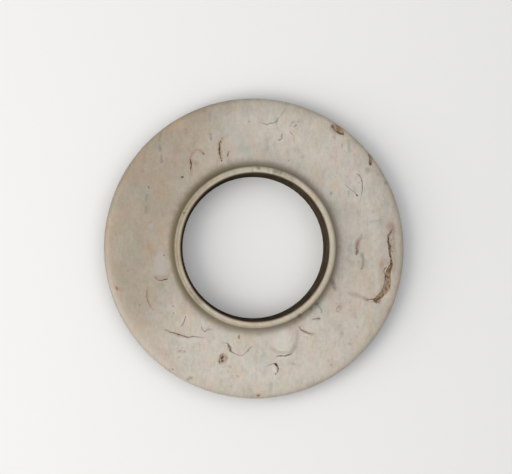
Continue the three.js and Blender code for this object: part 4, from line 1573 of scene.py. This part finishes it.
def earth_tone(shades, fine):
    """How light the crust is: darker in its hollows and in streaks along the fissure."""
    share = shades.plus(shades.mask("tone"), shades.step(fine, *FINE_STEP))
    share = shades.math("SUBTRACT", share, shades.times(shades.mask("hollow"), HOLLOW_SHARE))
    across = shades.times(shades.mask("across"), STREAKS_ACROSS)
    wave = shades.math("SINE", shades.plus(across, shades.times(fine, STREAKS_WANDER)))
    streak = shades.step(wave, *STREAK_STEP)
    return shades.step(shades.math("SUBTRACT", share, streak), 0, 1)


def earth_material():
    """Hard earth: tan crust in patches, reddish or as pale as the stone in places."""
    shades = Shades("hard_burial_earth")
    coarse = shades.stepped(*CRUST)
    dark, light, ruddy = (shades.mix(coarse, *tints)
                          for tints in (DARK_CRUST, LIGHT_CRUST, RUDDY_CRUST))
    light = shades.mix(shades.mask("ruddy"), light, ruddy)
    fine = shades.noise(*FINE_EARTH)
    pale = shades.mix(PALE_SHARE, stone_colour(shades)[0], PALE_TINT)
    colour = shades.mix(earth_tone(shades, fine), dark, light)
    colour = masked(shades, colour, {"pale": pale, "crevice": SPOT_TINT})
    shades.fill(shades.shader, {"Base Color": colour, "Roughness": EARTH_ROUGHNESS})
    crumbs = shades.times(shades.noise(*CRUMBS), CRUMBS_SHARE)
    shades.bump(shades.plus(fine, crumbs), *EARTH_RELIEF)
    return shades.material


def make_floor():
    """A plain pale floor that reflects less light onto the stone than its paleness shows."""
    corners = [(-1, -1, 0), (1, -1, 0), (1, 1, 0), (-1, 1, 0)]
    floor = mesh_object("floor", FLOOR_HALF * np.array(corners, float), [(0, 1, 2, 3)])
    shades = Shades("pale_floor")
    path = shades.add("LightPath", {}).outputs
    seen = shades.math("MAXIMUM", path["Is Camera Ray"], path["Is Glossy Ray"])
    seen = shades.math("MAXIMUM", seen, path["Is Transmission Ray"])
    colour = shades.mix(seen, FLOOR_BOUNCE, FLOOR_SEEN)
    inputs = {"Base Color": colour, "Roughness": 1, "Specular IOR Level": 0}
    shades.fill(shades.shader, inputs)
    floor.data.materials.append(shades.material)


def make_lamp(name, place, size, power, tint):
    """A rectangular soft lamp that faces the disc."""
    data = bpy.data.lights.new(name, "AREA")
    data.shape = "RECTANGLE"
    data.size, data.size_y = (side * MILLIMETRE for side in size)
    data.energy = power
    data.color = tint
    lamp = in_scene(name, data)
    lamp.location = Vector(place) * MILLIMETRE
    lamp.rotation_euler = (-lamp.location).to_track_quat("-Z", "Y").to_euler()


def make_light():
    """Soft light from over the camera, a tall panel at the left and a dim surround."""
    for name, lamp in LAMPS.items():
        make_lamp(name, *lamp)
    world = bpy.data.worlds.new("studio")
    world.use_nodes = True
    background = world.node_tree.nodes["Background"]
    for key, value in SURROUND.items():
        background.inputs[key].default_value = value
    bpy.context.scene.world = world


def make_camera():
    data = bpy.data.cameras.new("camera")
    data.sensor_width = SENSOR_WIDTH
    data.lens = SENSOR_WIDTH * CAMERA_DISTANCE * PIXELS_PER_MILLIMETRE / PHOTO_SIZE[0]
    data.clip_start, data.clip_end = (reach * MILLIMETRE for reach in CAMERA_SEES)
    camera = in_scene("camera", data)
    camera.location = Vector(camera_place()) * MILLIMETRE
    camera.rotation_euler = Matrix(camera_axes()).transposed().to_euler()
    bpy.context.scene.camera = camera


def fit_piece(piece, node):
    """Has a piece stand for its CAD node."""
    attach(piece, "root")
    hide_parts(node)


def make_disc():
    stone, places, faces = make_stone()
    fit_piece(stone, "stone_disc")
    tree = BVHTree.FromPolygons(places.tolist(), faces)
    earth = earth_material()
    for name in CAVITIES:
        deposit = make_deposit(name, tree)
        deposit.data.materials.append(earth)
        fit_piece(deposit, name)


make_camera()
make_disc()
make_floor()
make_light()
bpy.context.scene.view_settings.view_transform = "Standard"
